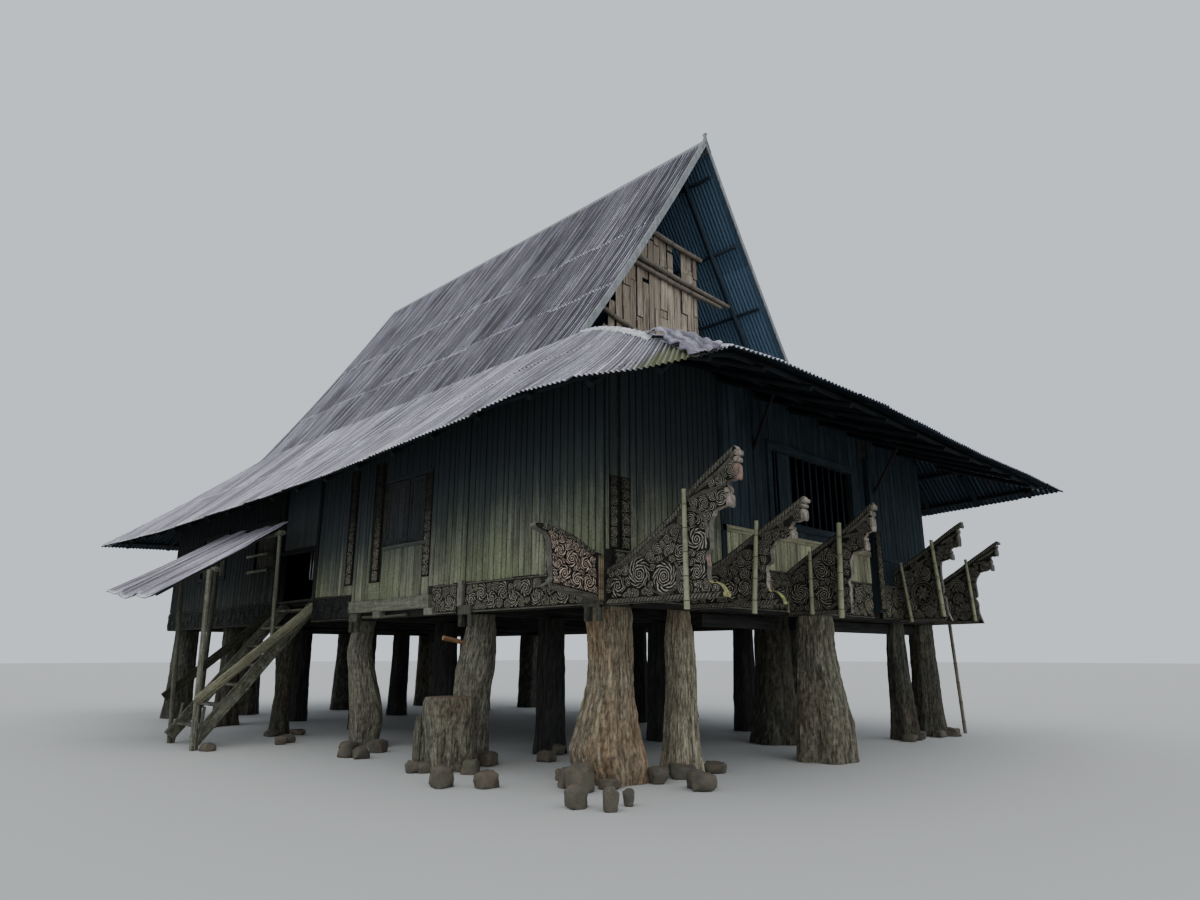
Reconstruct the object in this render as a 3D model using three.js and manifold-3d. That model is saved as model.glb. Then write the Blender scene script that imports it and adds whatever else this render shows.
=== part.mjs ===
import * as THREE from "three";
import { mergeVertices } from "three/addons/utils/BufferGeometryUtils.js";
import Module from "manifold-3d";

// Torogan: a raised hall on thick tree-trunk posts with carved wing-shaped beam ends
// and a steep sheet-iron roof. Millimetres, +Z up. The carved front faces -Y, the long
// wall with the stairs faces -X. Sizes below are taken from the hall's own middle; the
// finished pieces are moved along X so that the origin is under the middle of the whole.

// Hall
const HALF_WIDTH = 4300;
const HALF_LENGTH = 6950;
const BEAM_BOTTOM = 1880;
const BEAM_TOP = 2270;
const BEAM_DEPTH = 120;
const WALL_THICK = 60;
const FLOOR_THICK = 50;
const FLOOR_TOP = 2240;
const FIT_GAP = 0.3;

// Roof: steep upper slopes over a spreading lower skirt
const RIDGE_HEIGHT = 10650;
const RIDGE_HALF = 5400;
const BREAK_HALF = 3200;
const BREAK_HEIGHT = 5820;
const EAVE_HALF_WIDTH = 5430;
const EAVE_HALF_LENGTH = 9150;
const SLOPE_THICK = 110;
const SKIRT_THICK = 50;
const SKIRT_SAG = 60;
const CUT_ABOVE = 6000;
const GABLE_SET_BACK = 500;

// Eave heights go round the house, from the drooping near corner to the straight far side.
// A third number is the sag at that station: the sheets ride up over the near hip.
const HIP_SAG = -150;
const LEFT_EAVE = [
  [-9150, 3790, HIP_SAG], [-8500, 3840, -100], [-7500, 4010, -30], [-6800, 4050, 0],
  [-5850, 3985, 30], [-4350, 3920], [-2450, 3835], [200, 3790], [4900, 3780], [9150, 3890],
];
const FRONT_EAVE = [
  [-5430, 3790, HIP_SAG], [-4850, 4080, -80], [-4000, 4160, -20], [-1700, 4230],
  [1400, 4190], [3600, 4230], [5430, 4210],
];
const RIGHT_EAVE = [[-9150, 4210], [-6500, 4080], [-2000, 3900], [4000, 3850], [9150, 3890]];
const REAR_EAVE = [[-5430, 3890], [-2500, 4000], [2500, 4000], [5430, 3890]];

// Posts stand in five lines across and six along
const POST_LINES_Y = [-4050, -1350, 1350, 4050];
const INNER_POSTS_X = [-2460, 0, 2460];
const SIDE_POST_X = 3950;
const END_POST_Y = 6720;

// Doorway in the long left wall, above the stairs
const DOOR_FROM = -140;
const DOOR_TO = 1250;
const DOOR_HEAD = 3150;

const WOOD = 0x6f6a5c;
const DARK_WOOD = 0x4b473e;
const SHEET_IRON = 0x6b6a75;
const BAMBOO = 0xa9a583;

// The stair canopy reaches further out than the roof does on the other side
const CANOPY_REACH = 6750;
const MIDDLE_SHIFT = (CANOPY_REACH - EAVE_HALF_WIDTH) / 2;

const wasm = await Module();
wasm.setup();

const house = new THREE.Group();
house.name = "torogan";

function solidFrom(positions, triangles) {
  let volume = 0;
  for (const [a, b, c] of triangles) {
    const [ax, ay, az] = positions[a];
    const [bx, by, bz] = positions[b];
    const [cx, cy, cz] = positions[c];
    volume += ax * (by * cz - bz * cy) - ay * (bx * cz - bz * cx) + az * (bx * cy - by * cx);
  }
  const ordered = volume < 0 ? triangles.map(([a, b, c]) => [a, c, b]) : triangles;
  const mesh = new wasm.Mesh({
    numProp: 3,
    vertProperties: new Float32Array(positions.flat()),
    triVerts: new Uint32Array(ordered.flat()),
  });
  return new wasm.Manifold(mesh);
}

function solidFromGeometry(geometry) {
  const bare = geometry.clone();
  for (const key of Object.keys(bare.attributes)) {
    if (key !== "position") {
      bare.deleteAttribute(key);
    }
  }
  const merged = mergeVertices(bare, 0.01);
  const mesh = new wasm.Mesh({
    numProp: 3,
    vertProperties: new Float32Array(merged.attributes.position.array),
    triVerts: new Uint32Array(merged.index.array),
  });
  return new wasm.Manifold(mesh);
}

function add(name, solid, colour, roughness = 0.85, metalness = 0) {
  const mesh = solid.translate([MIDDLE_SHIFT, 0, 0]).getMesh();
  const geometry = new THREE.BufferGeometry();
  geometry.setAttribute("position", new THREE.BufferAttribute(mesh.vertProperties, 3));
  geometry.setIndex(new THREE.BufferAttribute(mesh.triVerts, 1));
  geometry.computeVertexNormals();
  const material = new THREE.MeshStandardMaterial({ color: colour, roughness, metalness });
  const body = new THREE.Mesh(geometry, material);
  body.name = name;
  house.add(body);
}

function block(x0, x1, y0, y1, z0, z1) {
  const corners = [];
  for (const z of [z0, z1]) {
    corners.push([x0, y0, z], [x1, y0, z], [x1, y1, z], [x0, y1, z]);
  }
  return solidFrom(corners, [
    [0, 2, 1], [0, 3, 2], [4, 5, 6], [4, 6, 7],
    [0, 1, 5], [0, 5, 4], [1, 2, 6], [1, 6, 5],
    [2, 3, 7], [2, 7, 6], [3, 0, 4], [3, 4, 7],
  ]);
}

function joined(solids) {
  return solids.reduce((whole, next) => whole.add(next));
}

// A body through rings of equal point count, closed at both ends
function loft(rings) {
  const count = rings[0].length;
  const positions = rings.flat();
  const triangles = [];
  for (let r = 0; r + 1 < rings.length; r += 1) {
    for (let i = 0; i < count; i += 1) {
      const j = (i + 1) % count;
      const a = r * count + i;
      const b = r * count + j;
      triangles.push([a, b, b + count], [a, b + count, a + count]);
    }
  }
  const last = (rings.length - 1) * count;
  for (let i = 1; i + 1 < count; i += 1) {
    triangles.push([0, i + 1, i], [last, last + i, last + i + 1]);
  }
  return solidFrom(positions, triangles);
}

// Round timber between two points
function pole(from, to, radiusFrom, radiusTo = radiusFrom, sides = 12) {
  const start = new THREE.Vector3(...from);
  const end = new THREE.Vector3(...to);
  const along = end.clone().sub(start).normalize();
  const helper = Math.abs(along.z) > 0.9 ? new THREE.Vector3(1, 0, 0) : new THREE.Vector3(0, 0, 1);
  const u = helper.clone().cross(along).normalize();
  const v = along.clone().cross(u);
  const ring = (centre, radius) => Array.from({ length: sides }, (_, i) => {
    const angle = (2 * Math.PI * i) / sides;
    return centre.clone()
      .addScaledVector(u, radius * Math.cos(angle))
      .addScaledVector(v, radius * Math.sin(angle))
      .toArray();
  });
  return loft([ring(start, radiusFrom), ring(end, radiusTo)]);
}

// Square-cut plank between two points: width across it in plan, depth in its upright plane
function plank(from, to, width, depth) {
  const start = new THREE.Vector3(...from);
  const end = new THREE.Vector3(...to);
  const along = end.clone().sub(start).normalize();
  const across = along.clone().cross(new THREE.Vector3(0, 0, 1)).normalize();
  const up = across.clone().cross(along);
  const ring = (centre) => [[-1, -1], [1, -1], [1, 1], [-1, 1]].map(([a, b]) => centre.clone()
    .addScaledVector(across, (a * width) / 2)
    .addScaledVector(up, (b * depth) / 2)
    .toArray());
  return loft([ring(start), ring(end)]);
}

// Outline in the Y-Z plane pushed out along X
function sideProfile(outline, x0, x1) {
  const shape = new THREE.Shape(outline.map(([y, z]) => new THREE.Vector2(y, z)));
  const geometry = new THREE.ExtrudeGeometry(shape, { depth: x1 - x0, bevelEnabled: false });
  const turned = new THREE.Matrix4().set(
    0, 0, 1, x0,
    1, 0, 0, 0,
    0, 1, 0, 0,
    0, 0, 0, 1,
  );
  return solidFromGeometry(geometry.applyMatrix4(turned));
}

// Outline in the X-Z plane pushed out along Y
function frontProfile(outline, y0, y1) {
  const shape = new THREE.Shape(outline.map(([x, z]) => new THREE.Vector2(x, z)));
  const geometry = new THREE.ExtrudeGeometry(shape, { depth: y1 - y0, bevelEnabled: false });
  const turned = new THREE.Matrix4().set(
    1, 0, 0, 0,
    0, 0, -1, y1,
    0, 1, 0, 0,
    0, 0, 0, 1,
  );
  return solidFromGeometry(geometry.applyMatrix4(turned));
}

// Roof surface: rows of top points, with the under side straight below
function sheet(rows, below, above = 0) {
  const columns = rows[0].length;
  const tops = rows.flat().map(([x, y, z]) => [x, y, z + above]);
  const bottoms = rows.flat().map(([x, y, z]) => [x, y, z - below]);
  const count = tops.length;
  const triangles = [];
  for (let r = 0; r + 1 < rows.length; r += 1) {
    for (let c = 0; c + 1 < columns; c += 1) {
      const a = r * columns + c;
      const b = a + 1;
      const d = a + columns;
      const e = d + 1;
      triangles.push([a, b, e], [a, e, d]);
      triangles.push([a + count, e + count, b + count], [a + count, d + count, e + count]);
    }
  }
  const rim = [];
  for (let c = 0; c < columns; c += 1) {
    rim.push(c);
  }
  for (let r = 1; r < rows.length; r += 1) {
    rim.push(r * columns + columns - 1);
  }
  for (let c = columns - 2; c >= 0; c -= 1) {
    rim.push((rows.length - 1) * columns + c);
  }
  for (let r = rows.length - 2; r > 0; r -= 1) {
    rim.push(r * columns);
  }
  rim.forEach((a, i) => {
    const b = rim[(i + 1) % rim.length];
    triangles.push([b, a, a + count], [b, a + count, b + count]);
  });
  return solidFrom([...tops, ...bottoms], triangles);
}

// Tree trunk: [height, radius, shift X, shift Y] rings, with a few lobes like old roots
function trunk(x, y, rings, seed, sides = 20) {
  return loft(rings.map(([z, radius, dx = 0, dy = 0]) => Array.from({ length: sides }, (_, i) => {
    const angle = (2 * Math.PI * i) / sides;
    const flare = Math.max(0, 1 - z / 900);
    const lobes = (0.03 + 0.07 * flare) * Math.sin(5 * angle + seed)
      + 0.03 * Math.sin(3 * angle + 2 * seed);
    const r = radius * (1 + lobes);
    return [x + dx + r * Math.cos(angle), y + dy + r * Math.sin(angle), z];
  })));
}

function plainTrunk(x, y, base, top, seed, height = BEAM_BOTTOM, sides = 16) {
  const waist = (base + top) / 2;
  return trunk(x, y, [
    [0, base], [0.12 * height, base * 0.93], [0.35 * height, waist],
    [0.65 * height, top * 1.06], [height, top],
  ], seed, sides);
}

// Roof
const SKIRT_STEPS = [0, 1 / 3, 2 / 3, 1];

function skirtRows(eave, pointOnEave, pointOnBreak, half) {
  return SKIRT_STEPS.map((step) => eave.map(([at, height, depth = SKIRT_SAG]) => {
    const top = pointOnBreak(at / half);
    const low = pointOnEave(at, height);
    const sag = 4 * depth * step * (1 - step);
    return [0, 1, 2].map((k) => top[k] + (low[k] - top[k]) * step - (k === 2 ? sag : 0));
  }));
}

const leftRows = skirtRows(
  LEFT_EAVE,
  (y, z) => [-EAVE_HALF_WIDTH, y, z],
  (t) => [-BREAK_HALF, RIDGE_HALF * t, BREAK_HEIGHT],
  EAVE_HALF_LENGTH,
);
const rightRows = skirtRows(
  RIGHT_EAVE,
  (y, z) => [EAVE_HALF_WIDTH, y, z],
  (t) => [BREAK_HALF, RIDGE_HALF * t, BREAK_HEIGHT],
  EAVE_HALF_LENGTH,
);
const frontRows = skirtRows(
  FRONT_EAVE,
  (x, z) => [x, -EAVE_HALF_LENGTH, z],
  (t) => [BREAK_HALF * t, -RIDGE_HALF, BREAK_HEIGHT],
  EAVE_HALF_WIDTH,
);
const rearRows = skirtRows(
  REAR_EAVE,
  (x, z) => [x, EAVE_HALF_LENGTH, z],
  (t) => [BREAK_HALF * t, RIDGE_HALF, BREAK_HEIGHT],
  EAVE_HALF_WIDTH,
);
const skirts = [leftRows, rightRows, frontRows, rearRows];

// The steep slopes hang a little hollow between ridge and break
const SLOPE_PROFILE = [[0, RIDGE_HEIGHT], [1000, 9060], [2100, 7390], [BREAK_HALF, BREAK_HEIGHT]];
const slopeRows = (side) => SLOPE_PROFILE.map(([out, z]) => [
  [side * out, -RIDGE_HALF, z],
  [side * out, RIDGE_HALF, z],
]);
const slopes = [slopeRows(-1), slopeRows(1)];

function underRoof(solid, roofRows, thick) {
  return roofRows.reduce(
    (rest, rows) => rest.subtract(sheet(rows, thick + FIT_GAP, CUT_ABOVE)),
    solid,
  );
}

add("upper_slope_left", sheet(slopes[0], SLOPE_THICK), SHEET_IRON, 0.5, 0.6);
add("upper_slope_right", sheet(slopes[1], SLOPE_THICK), SHEET_IRON, 0.5, 0.6);
add("skirt_left", sheet(leftRows, SKIRT_THICK), SHEET_IRON, 0.5, 0.6);
add("skirt_right", sheet(rightRows, SKIRT_THICK), SHEET_IRON, 0.5, 0.6);

// The end skirts run on under the gable walls
const APRON_LAP = 60;
const APRON_RISE = 0.42;
function endSkirt(rows, side) {
  const outer = RIDGE_HALF + APRON_LAP;
  const inner = RIDGE_HALF - GABLE_SET_BACK;
  const height = (y) => BREAK_HEIGHT - 6 + (RIDGE_HALF - y) * APRON_RISE;
  const apron = sheet(
    [outer, inner].map((y) => [-BREAK_HALF + 40, BREAK_HALF - 40].map((x) => [
      x, side * y, height(y),
    ])),
    SKIRT_THICK - 12,
  );
  const cut = underRoof(apron, slopes, SLOPE_THICK);
  return sheet(rows, SKIRT_THICK).add(cut);
}
add("skirt_front", endSkirt(frontRows, -1), SHEET_IRON, 0.5, 0.6);
add("skirt_rear", endSkirt(rearRows, 1), SHEET_IRON, 0.5, 0.6);

const RIDGE_POLE_RADIUS = 90;
add(
  "ridge_pole",
  underRoof(
    pole([0, -5000, 10390], [0, 5000, 10390], RIDGE_POLE_RADIUS, RIDGE_POLE_RADIUS, 16),
    slopes,
    SLOPE_THICK,
  ),
  DARK_WOOD,
);

// Gable walls of flattened bamboo: the front one has lost its right half and its top
const GABLE_THICK = 40;
const GABLE_BASE = 5900;
const gableFace = RIDGE_HALF - GABLE_SET_BACK - 5;
const frontPanel = frontProfile(
  [[-3150, GABLE_BASE], [260, GABLE_BASE], [230, 8570], [-1500, 8630], [-3150, 8630]],
  -gableFace, -gableFace + GABLE_THICK,
);
const GABLE_BARS = [
  [[-1500, 8550], [330, 8480], 45],
  [[-2200, 7920], [1150, 7820], 45],
  [[-2200, 7780], [900, 7720], 40],
  [[-2900, 6720], [-1450, 6520], 40],
];
const gableBars = GABLE_BARS.map(([from, to, radius]) => pole(
  [from[0], -gableFace - radius + 12, from[1]],
  [to[0], -gableFace - radius + 12, to[1]],
  radius, radius, 10,
));
add(
  "gable_wall_front",
  underRoof(joined([frontPanel, ...gableBars]), slopes, SLOPE_THICK),
  BAMBOO,
);
const rearPanel = frontProfile(
  [[-3150, GABLE_BASE], [3150, GABLE_BASE], [3150, 10200], [-3150, 10200]],
  gableFace - GABLE_THICK, gableFace,
);
add(
  "gable_wall_rear",
  underRoof(rearPanel, slopes, SLOPE_THICK)
    .subtract(block(-RIDGE_POLE_RADIUS - 5, RIDGE_POLE_RADIUS + 5, 4000, 5600, 10290, 10600)),
  BAMBOO,
);

// Walls
const WALL_TOP = 5600;
const wallBlock = (x0, x1, y0, y1) => underRoof(
  block(x0, x1, y0, y1, BEAM_TOP, WALL_TOP),
  skirts,
  SKIRT_THICK,
);
const opening = (x0, x1, y0, y1, z0, z1) => block(x0, x1, y0, y1, z0, z1);
const outerX = HALF_WIDTH;
const innerX = HALF_WIDTH - WALL_THICK;
const outerY = HALF_LENGTH;
const innerY = HALF_LENGTH - WALL_THICK;

const SHUTTER_FROM = -3530;
const SHUTTER_TO = -2300;
const SHUTTER_SILL = 2930;
const SHUTTER_HEAD = 3920;
add(
  "left_wall_front",
  wallBlock(-outerX, -innerX, -outerY, DOOR_FROM).subtract(
    opening(-outerX - 50, -innerX + 50, SHUTTER_FROM, SHUTTER_TO, SHUTTER_SILL, SHUTTER_HEAD),
  ),
  WOOD,
);
add(
  "left_wall_over_door",
  wallBlock(-outerX + 15, -innerX, DOOR_FROM + FIT_GAP, DOOR_TO - FIT_GAP).subtract(
    opening(-outerX - 50, -innerX + 50, DOOR_FROM - 50, DOOR_TO + 50, 0, DOOR_HEAD),
  ),
  WOOD,
);
add(
  "left_wall_rear",
  wallBlock(-outerX, -innerX, DOOR_TO, outerY)
    .subtract(opening(-outerX - 50, -innerX + 50, 1500, 2500, 2900, 3800))
    .subtract(opening(-outerX - 50, -innerX + 50, 3900, 5300, 2900, 3800)),
  WOOD,
);
const leafWidth = (SHUTTER_TO - SHUTTER_FROM) / 2;
add(
  "shutter_leaf_front",
  block(-outerX + 10, -innerX - 15, SHUTTER_FROM + 4, SHUTTER_FROM + leafWidth - 3,
    SHUTTER_SILL + FIT_GAP, SHUTTER_HEAD - 6),
  WOOD,
);
add(
  "shutter_leaf_rear",
  block(-outerX + 10, -innerX - 15, SHUTTER_FROM + leafWidth + 3, SHUTTER_TO - 4,
    SHUTTER_SILL + FIT_GAP, SHUTTER_HEAD - 6),
  WOOD,
);
add(
  "right_wall",
  wallBlock(innerX, outerX, -outerY, outerY)
    .subtract(opening(innerX - 50, outerX + 50, -3530, -2300, 2930, 3920))
    .subtract(opening(innerX - 50, outerX + 50, 2300, 3530, 2930, 3920)),
  WOOD,
);
const WINDOW_FROM = -900;
const WINDOW_TO = 1500;
const WINDOW_SILL = 3200;
const WINDOW_HEAD = 4270;
add(
  "front_wall",
  wallBlock(-innerX + FIT_GAP, innerX - FIT_GAP, -outerY, -innerY).subtract(
    opening(WINDOW_FROM, WINDOW_TO, -outerY - 50, -innerY + 50, WINDOW_SILL, WINDOW_HEAD),
  ),
  WOOD,
);
add(
  "rear_wall",
  wallBlock(-innerX + FIT_GAP, innerX - FIT_GAP, innerY, outerY).subtract(
    opening(-1200, 1200, innerY - 50, outerY + 50, WINDOW_SILL, WINDOW_HEAD),
  ),
  WOOD,
);

// Floor and the beams round it
const beamIn = HALF_WIDTH - BEAM_DEPTH;
const beamInY = HALF_LENGTH - BEAM_DEPTH;
add(
  "floor",
  block(-beamIn + FIT_GAP, beamIn - FIT_GAP, -beamInY + FIT_GAP, beamInY - FIT_GAP,
    FLOOR_TOP - FLOOR_THICK, FLOOR_TOP),
  WOOD,
);
add("left_beam_front", block(-outerX, -beamIn, -outerY, DOOR_FROM, BEAM_BOTTOM, BEAM_TOP), WOOD);
add("left_beam_rear", block(-outerX, -beamIn, DOOR_TO, outerY, BEAM_BOTTOM, BEAM_TOP), WOOD);
add(
  "front_beam",
  block(-beamIn + FIT_GAP, beamIn - FIT_GAP, -outerY, -beamInY, BEAM_BOTTOM, BEAM_TOP),
  WOOD,
);

// Right and rear edge beams with the posts under them
const rightRow = [block(beamIn, outerX, -outerY, outerY, BEAM_BOTTOM, BEAM_TOP)];
POST_LINES_Y.forEach((y, i) => {
  rightRow.push(plainTrunk(SIDE_POST_X + 70, y, 300, 250, 3 + i, BEAM_BOTTOM + 10));
});
// The trunk tops are cut back where the cross girders lie on them
function underGirders(solid) {
  return POST_LINES_Y.reduce((rest, y) => rest.subtract(
    block(-beamIn, beamIn, y - GIRDER_WIDE / 2 - 5, y + GIRDER_WIDE / 2 + 5, BEAM_BOTTOM - FIT_GAP,
      FLOOR_TOP),
  ), solid);
}
const GIRDER_WIDE = 220;
add("right_beam_and_posts", underGirders(joined(rightRow)), DARK_WOOD);
const rearRow = [block(-beamIn + FIT_GAP, beamIn - FIT_GAP, beamInY, outerY, BEAM_BOTTOM, BEAM_TOP)];
INNER_POSTS_X.forEach((x, i) => {
  rearRow.push(plainTrunk(x, END_POST_Y, 300, 230, 9 + i, BEAM_BOTTOM + 10));
});
add("rear_beam_and_posts", joined(rearRow), DARK_WOOD);

// Cross girders with their inner posts carry the floor
POST_LINES_Y.forEach((y, i) => {
  const girder = block(-beamIn + FIT_GAP, beamIn - FIT_GAP, y - GIRDER_WIDE / 2,
    y + GIRDER_WIDE / 2, BEAM_BOTTOM, FLOOR_TOP - FLOOR_THICK);
  const posts = INNER_POSTS_X.map((x, k) => plainTrunk(x, y, 235, 190, 2 * i + k,
    BEAM_BOTTOM + 10, 14));
  add(`girder_row_${i + 1}`, joined([girder, ...posts]), DARK_WOOD);
});

// Outer posts the eye can see, each its own tree
const FLOOR_UNDER = FLOOR_TOP - FLOOR_THICK;
add("post_corner_front_left", trunk(-3750, -6470, [
  [0, 440], [270, 418], [470, 378, -8, 8], [740, 318], [1050, 265, 15, -15],
  [1360, 264, 14, -14], [1880, 272], [FLOOR_UNDER, 270],
], 1.2), WOOD);
add("post_front_2", trunk(-2620, -6600, [
  [0, 265], [200, 235], [600, 205], [1150, 185, 20], [1550, 175], [1880, 135],
  [FLOOR_UNDER, 130],
], 2.4), WOOD);
add("post_front_3", trunk(-480, -7230, [
  [0, 392, 65, -66], [270, 384, 62, -63], [520, 372, 59, -60], [1000, 304, 40, -41],
  [1360, 262, 27, -28], [BEAM_BOTTOM, 225, 36, -36],
], 0.5), WOOD);
add("post_inner_front", trunk(1000, -5650, [
  [0, 420], [300, 370], [900, 310], [1500, 290], [FLOOR_UNDER, 270],
], 4.1), WOOD);
add("post_front_4", trunk(2900, -6870, [
  [0, 240, 60], [250, 210, 40], [800, 180, 10], [1500, 160], [BEAM_BOTTOM, 140],
], 3.3), WOOD);
add("post_front_5", trunk(3960, -6870, [
  [0, 300], [250, 265], [800, 230], [1400, 215], [BEAM_BOTTOM, 205],
], 5.0), WOOD);
const leftPosts = [
  [-4230, [[0, 240, -28, 28], [300, 236, -27, 28], [870, 236, -25, 25], [1360, 234, 13, -14],
    [1620, 205, 30, -31], [1880, 172, 42, -42]]],
  [-1350, [[0, 210, 45, -45], [150, 225, 48, -48], [440, 251, 51, -52], [740, 236, 18, -18],
    [1100, 204, -32, 32], [1430, 185, -69, 70], [1770, 163, -49, 50], [1880, 165, -40, 40]]],
  [1350, [[0, 178, -50, 50], [140, 162, -51, 52], [580, 138, -51, 52], [1100, 155, -51, 52],
    [1500, 180, -52, 53], [1880, 182, -45, 45]]],
  [4050, [[0, 270], [300, 230], [900, 200], [1500, 190], [1880, 190]]],
];
leftPosts.forEach(([y, rings], i) => {
  add(`post_left_${i + 2}`, trunk(-SIDE_POST_X, y, rings, 1.7 * i, 18), WOOD);
});
add("post_corner_rear_left", plainTrunk(-SIDE_POST_X, END_POST_Y, 310, 240, 6.1), WOOD);
add("post_corner_rear_right", plainTrunk(SIDE_POST_X, END_POST_Y, 310, 240, 7.3)
  .subtract(block(0, 6000, 0, 9000, BEAM_BOTTOM - FIT_GAP, 3000)), WOOD);

// A cut trunk stands against the second left post
const besidePost = trunk(
  -SIDE_POST_X,
  leftPosts[0][0],
  leftPosts[0][1].map(([z, r, ...shift]) => [z, r + FIT_GAP, ...shift]),
  0,
  18,
);
add("cut_trunk", trunk(-4455, -4405, [
  [0, 310], [150, 325], [480, 318], [850, 320],
], 2.2).subtract(besidePost), WOOD);

// Carved wing-shaped beam ends. Each has a foot along the beam, a heel and a neck above it,
// a curl under the chin, a lobe and a tip, and a top edge that falls back to the wall.
const WING_THICK = 110;
const LONG_FOOT = 150;
const WINGS = [
  {
    x: -outerX + WING_THICK / 2, toe: 1585, heel: 1370, neck: 1420, chin: [1480, 855],
    curl: [1672, 950], notch: [1640, 1112], lobe: [1772, 1210], tip: [1792, 1400],
    top: [[1724, 1466], [1223, 1143], [1000, 929], [657, 711], [422, 575], [203, 464], [0, 390]],
  },
  {
    x: -2900, toe: 1376, heel: 1170, neck: 1250, chin: [1310, 700],
    curl: [1540, 800], notch: [1555, 880], lobe: [1690, 950], tip: [1720, 1110],
    top: [[1665, 1155], [1152, 877], [760, 660], [480, 520], [240, 430], [0, 370]],
  },
  {
    x: -600, toe: 965, heel: 965, neck: 1015, chin: [1060, 800],
    curl: [1260, 930], notch: [1277, 1040], lobe: [1370, 1200], tip: [1405, 1390],
    top: [[1362, 1440], [948, 1142], [383, 843], [0, 600]],
  },
  {
    x: 2850, toe: 935, heel: 870, neck: 850, chin: [865, 980],
    curl: [1057, 1100], notch: [1100, 1186], lobe: [1190, 1370], tip: [1258, 1550],
    top: [[1229, 1600], [985, 1455], [717, 1281], [443, 1103], [166, 955], [0, 860]],
  },
  {
    x: outerX - WING_THICK / 2, toe: 935, heel: 875, neck: 890, chin: [965, 890],
    curl: [1200, 1070], notch: [1235, 1140], lobe: [1300, 1260], tip: [1346, 1380],
    top: [[1300, 1415], [1025, 1244], [841, 1136], [556, 943], [385, 847], [0, 600]],
  },
];
function wingOutline({ toe, heel, neck, chin, curl, notch, lobe, tip, top }) {
  const foot = toe - heel > LONG_FOOT
    ? [[toe, 10], [toe - 27, 92], [toe - 75, 141], [heel + 85, 171]]
    : [[toe, 10]];
  const neckRise = chin[1] - 460;
  return [
    [0, 0], ...foot, [heel + 5, 184], [heel, 263], [heel + 12, 334], [heel - 10, 415],
    [neck - 50, 452], [neck, 485], [neck - 5, 460 + 0.35 * neckRise],
    [neck - 15, 460 + 0.65 * neckRise], chin, [curl[0] - 63, chin[1] + 28], curl,
    [curl[0] - 20, curl[1] + 72], notch, [lobe[0] - 45, notch[1] + 10], lobe,
    [lobe[0] - 6, lobe[1] + 80], [lobe[0] - 24, lobe[1] + 98], tip, ...top,
  ];
}
WINGS.forEach((shape, i) => {
  const outline = wingOutline(shape).map(([out, up]) => [
    -outerY - FIT_GAP - out, BEAM_BOTTOM + up,
  ]);
  const left = shape.x - WING_THICK / 2;
  add(`wing_front_${i + 1}`, sideProfile(outline, left, left + WING_THICK), WOOD);
});

const SIDE_WING = [
  [0, 40], [880, 150], [735, 225], [765, 360], [780, 600], [820, 690], [1000, 735],
  [1000, 800], [830, 795], [470, 730], [150, 575], [0, 545],
];
for (const [name, side] of [["wing_side_left", -1], ["wing_side_right", 1]]) {
  const outline = SIDE_WING.map(([out, up]) => [
    side * (outerX + FIT_GAP + out), BEAM_BOTTOM + up,
  ]);
  add(name, frontProfile(outline, -outerY, -outerY + WING_THICK), WOOD);
}

// Bamboo poles stand against the wings and the front
const belowGround = block(-9000, 9000, -12000, 12000, -2000, 0);
const BAMBOO_RADIUS = 38;
function wingPole(name, wing, from, to, radius = BAMBOO_RADIUS) {
  const x = WINGS[wing].x - WING_THICK / 2 - radius - FIT_GAP;
  add(name, pole([x, ...from], [x, ...to], radius), BAMBOO, 0.6);
}
wingPole("bamboo_wing_1", 0, [-8095, 1790], [-8095, 2985], 27);
wingPole("bamboo_wing_2", 1, [-7972, 1800], [-8055, 2825], 27);
wingPole("bamboo_wing_3", 2, [-7800, 1830], [-7860, 3090]);
wingPole("bamboo_wing_3_thin", 2, [-7370, 1890], [-7390, 2745], 30);
wingPole("bamboo_wing_4", 3, [-7784, 1960], [-7703, 3220]);
wingPole("bamboo_wing_4_lean", 3, [-7249, 1890], [-7146, 2880]);
wingPole("bamboo_wing_5", 4, [-7775, 1930], [-7722, 3010]);
add(
  "bamboo_ground_prop",
  pole([4750, -7160, -40], [5090, -6950, 2160], 34)
    .subtract(belowGround)
    .subtract(block(-outerX, 6000, -outerY - FIT_GAP, 0, BEAM_BOTTOM, 3000)),
  BAMBOO,
  0.6,
);

// Stairs to the doorway, with planks for rails, under a lean-to canopy
const STAIR_NEAR = 30;
const STAIR_FAR = 1130;
const STAIR_TOP = [-4000, 2457];
const STAIR_FOOT = [-5890, 40];
const stairParts = [];
for (const y of [STAIR_NEAR, STAIR_FAR]) {
  stairParts.push(plank([STAIR_FOOT[0], y, STAIR_FOOT[1]], [STAIR_TOP[0], y, STAIR_TOP[1]], 60, 190));
}
const TREADS = 7;
const TREAD_RISE = 300;
const stairRun = (STAIR_TOP[0] - STAIR_FOOT[0]) / (STAIR_TOP[1] - STAIR_FOOT[1]);
for (let i = 1; i <= TREADS; i += 1) {
  const z = TREAD_RISE * i;
  const x = STAIR_FOOT[0] + (z - STAIR_FOOT[1]) * stairRun;
  stairParts.push(block(x - 110, x + 110, STAIR_NEAR, STAIR_FAR, z - 20, z + 20));
}
const houseCut = block(-outerX - FIT_GAP, 0, -3000, 6000, 0, 6000);
const floorCut = block(-beamIn, 0, -3000, 6000, 0, 6000);
const aboveFloor = block(-5000, 0, -3000, 6000, FLOOR_TOP - 10, 6000);
add(
  "stairs",
  joined(stairParts).subtract(belowGround).subtract(floorCut).subtract(aboveFloor),
  WOOD,
);

const CANOPY_HIGH_X = -4800;
const CANOPY_FROM = 0;
const CANOPY_TO = 2700;
const CANOPY_THICK = 30;
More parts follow.
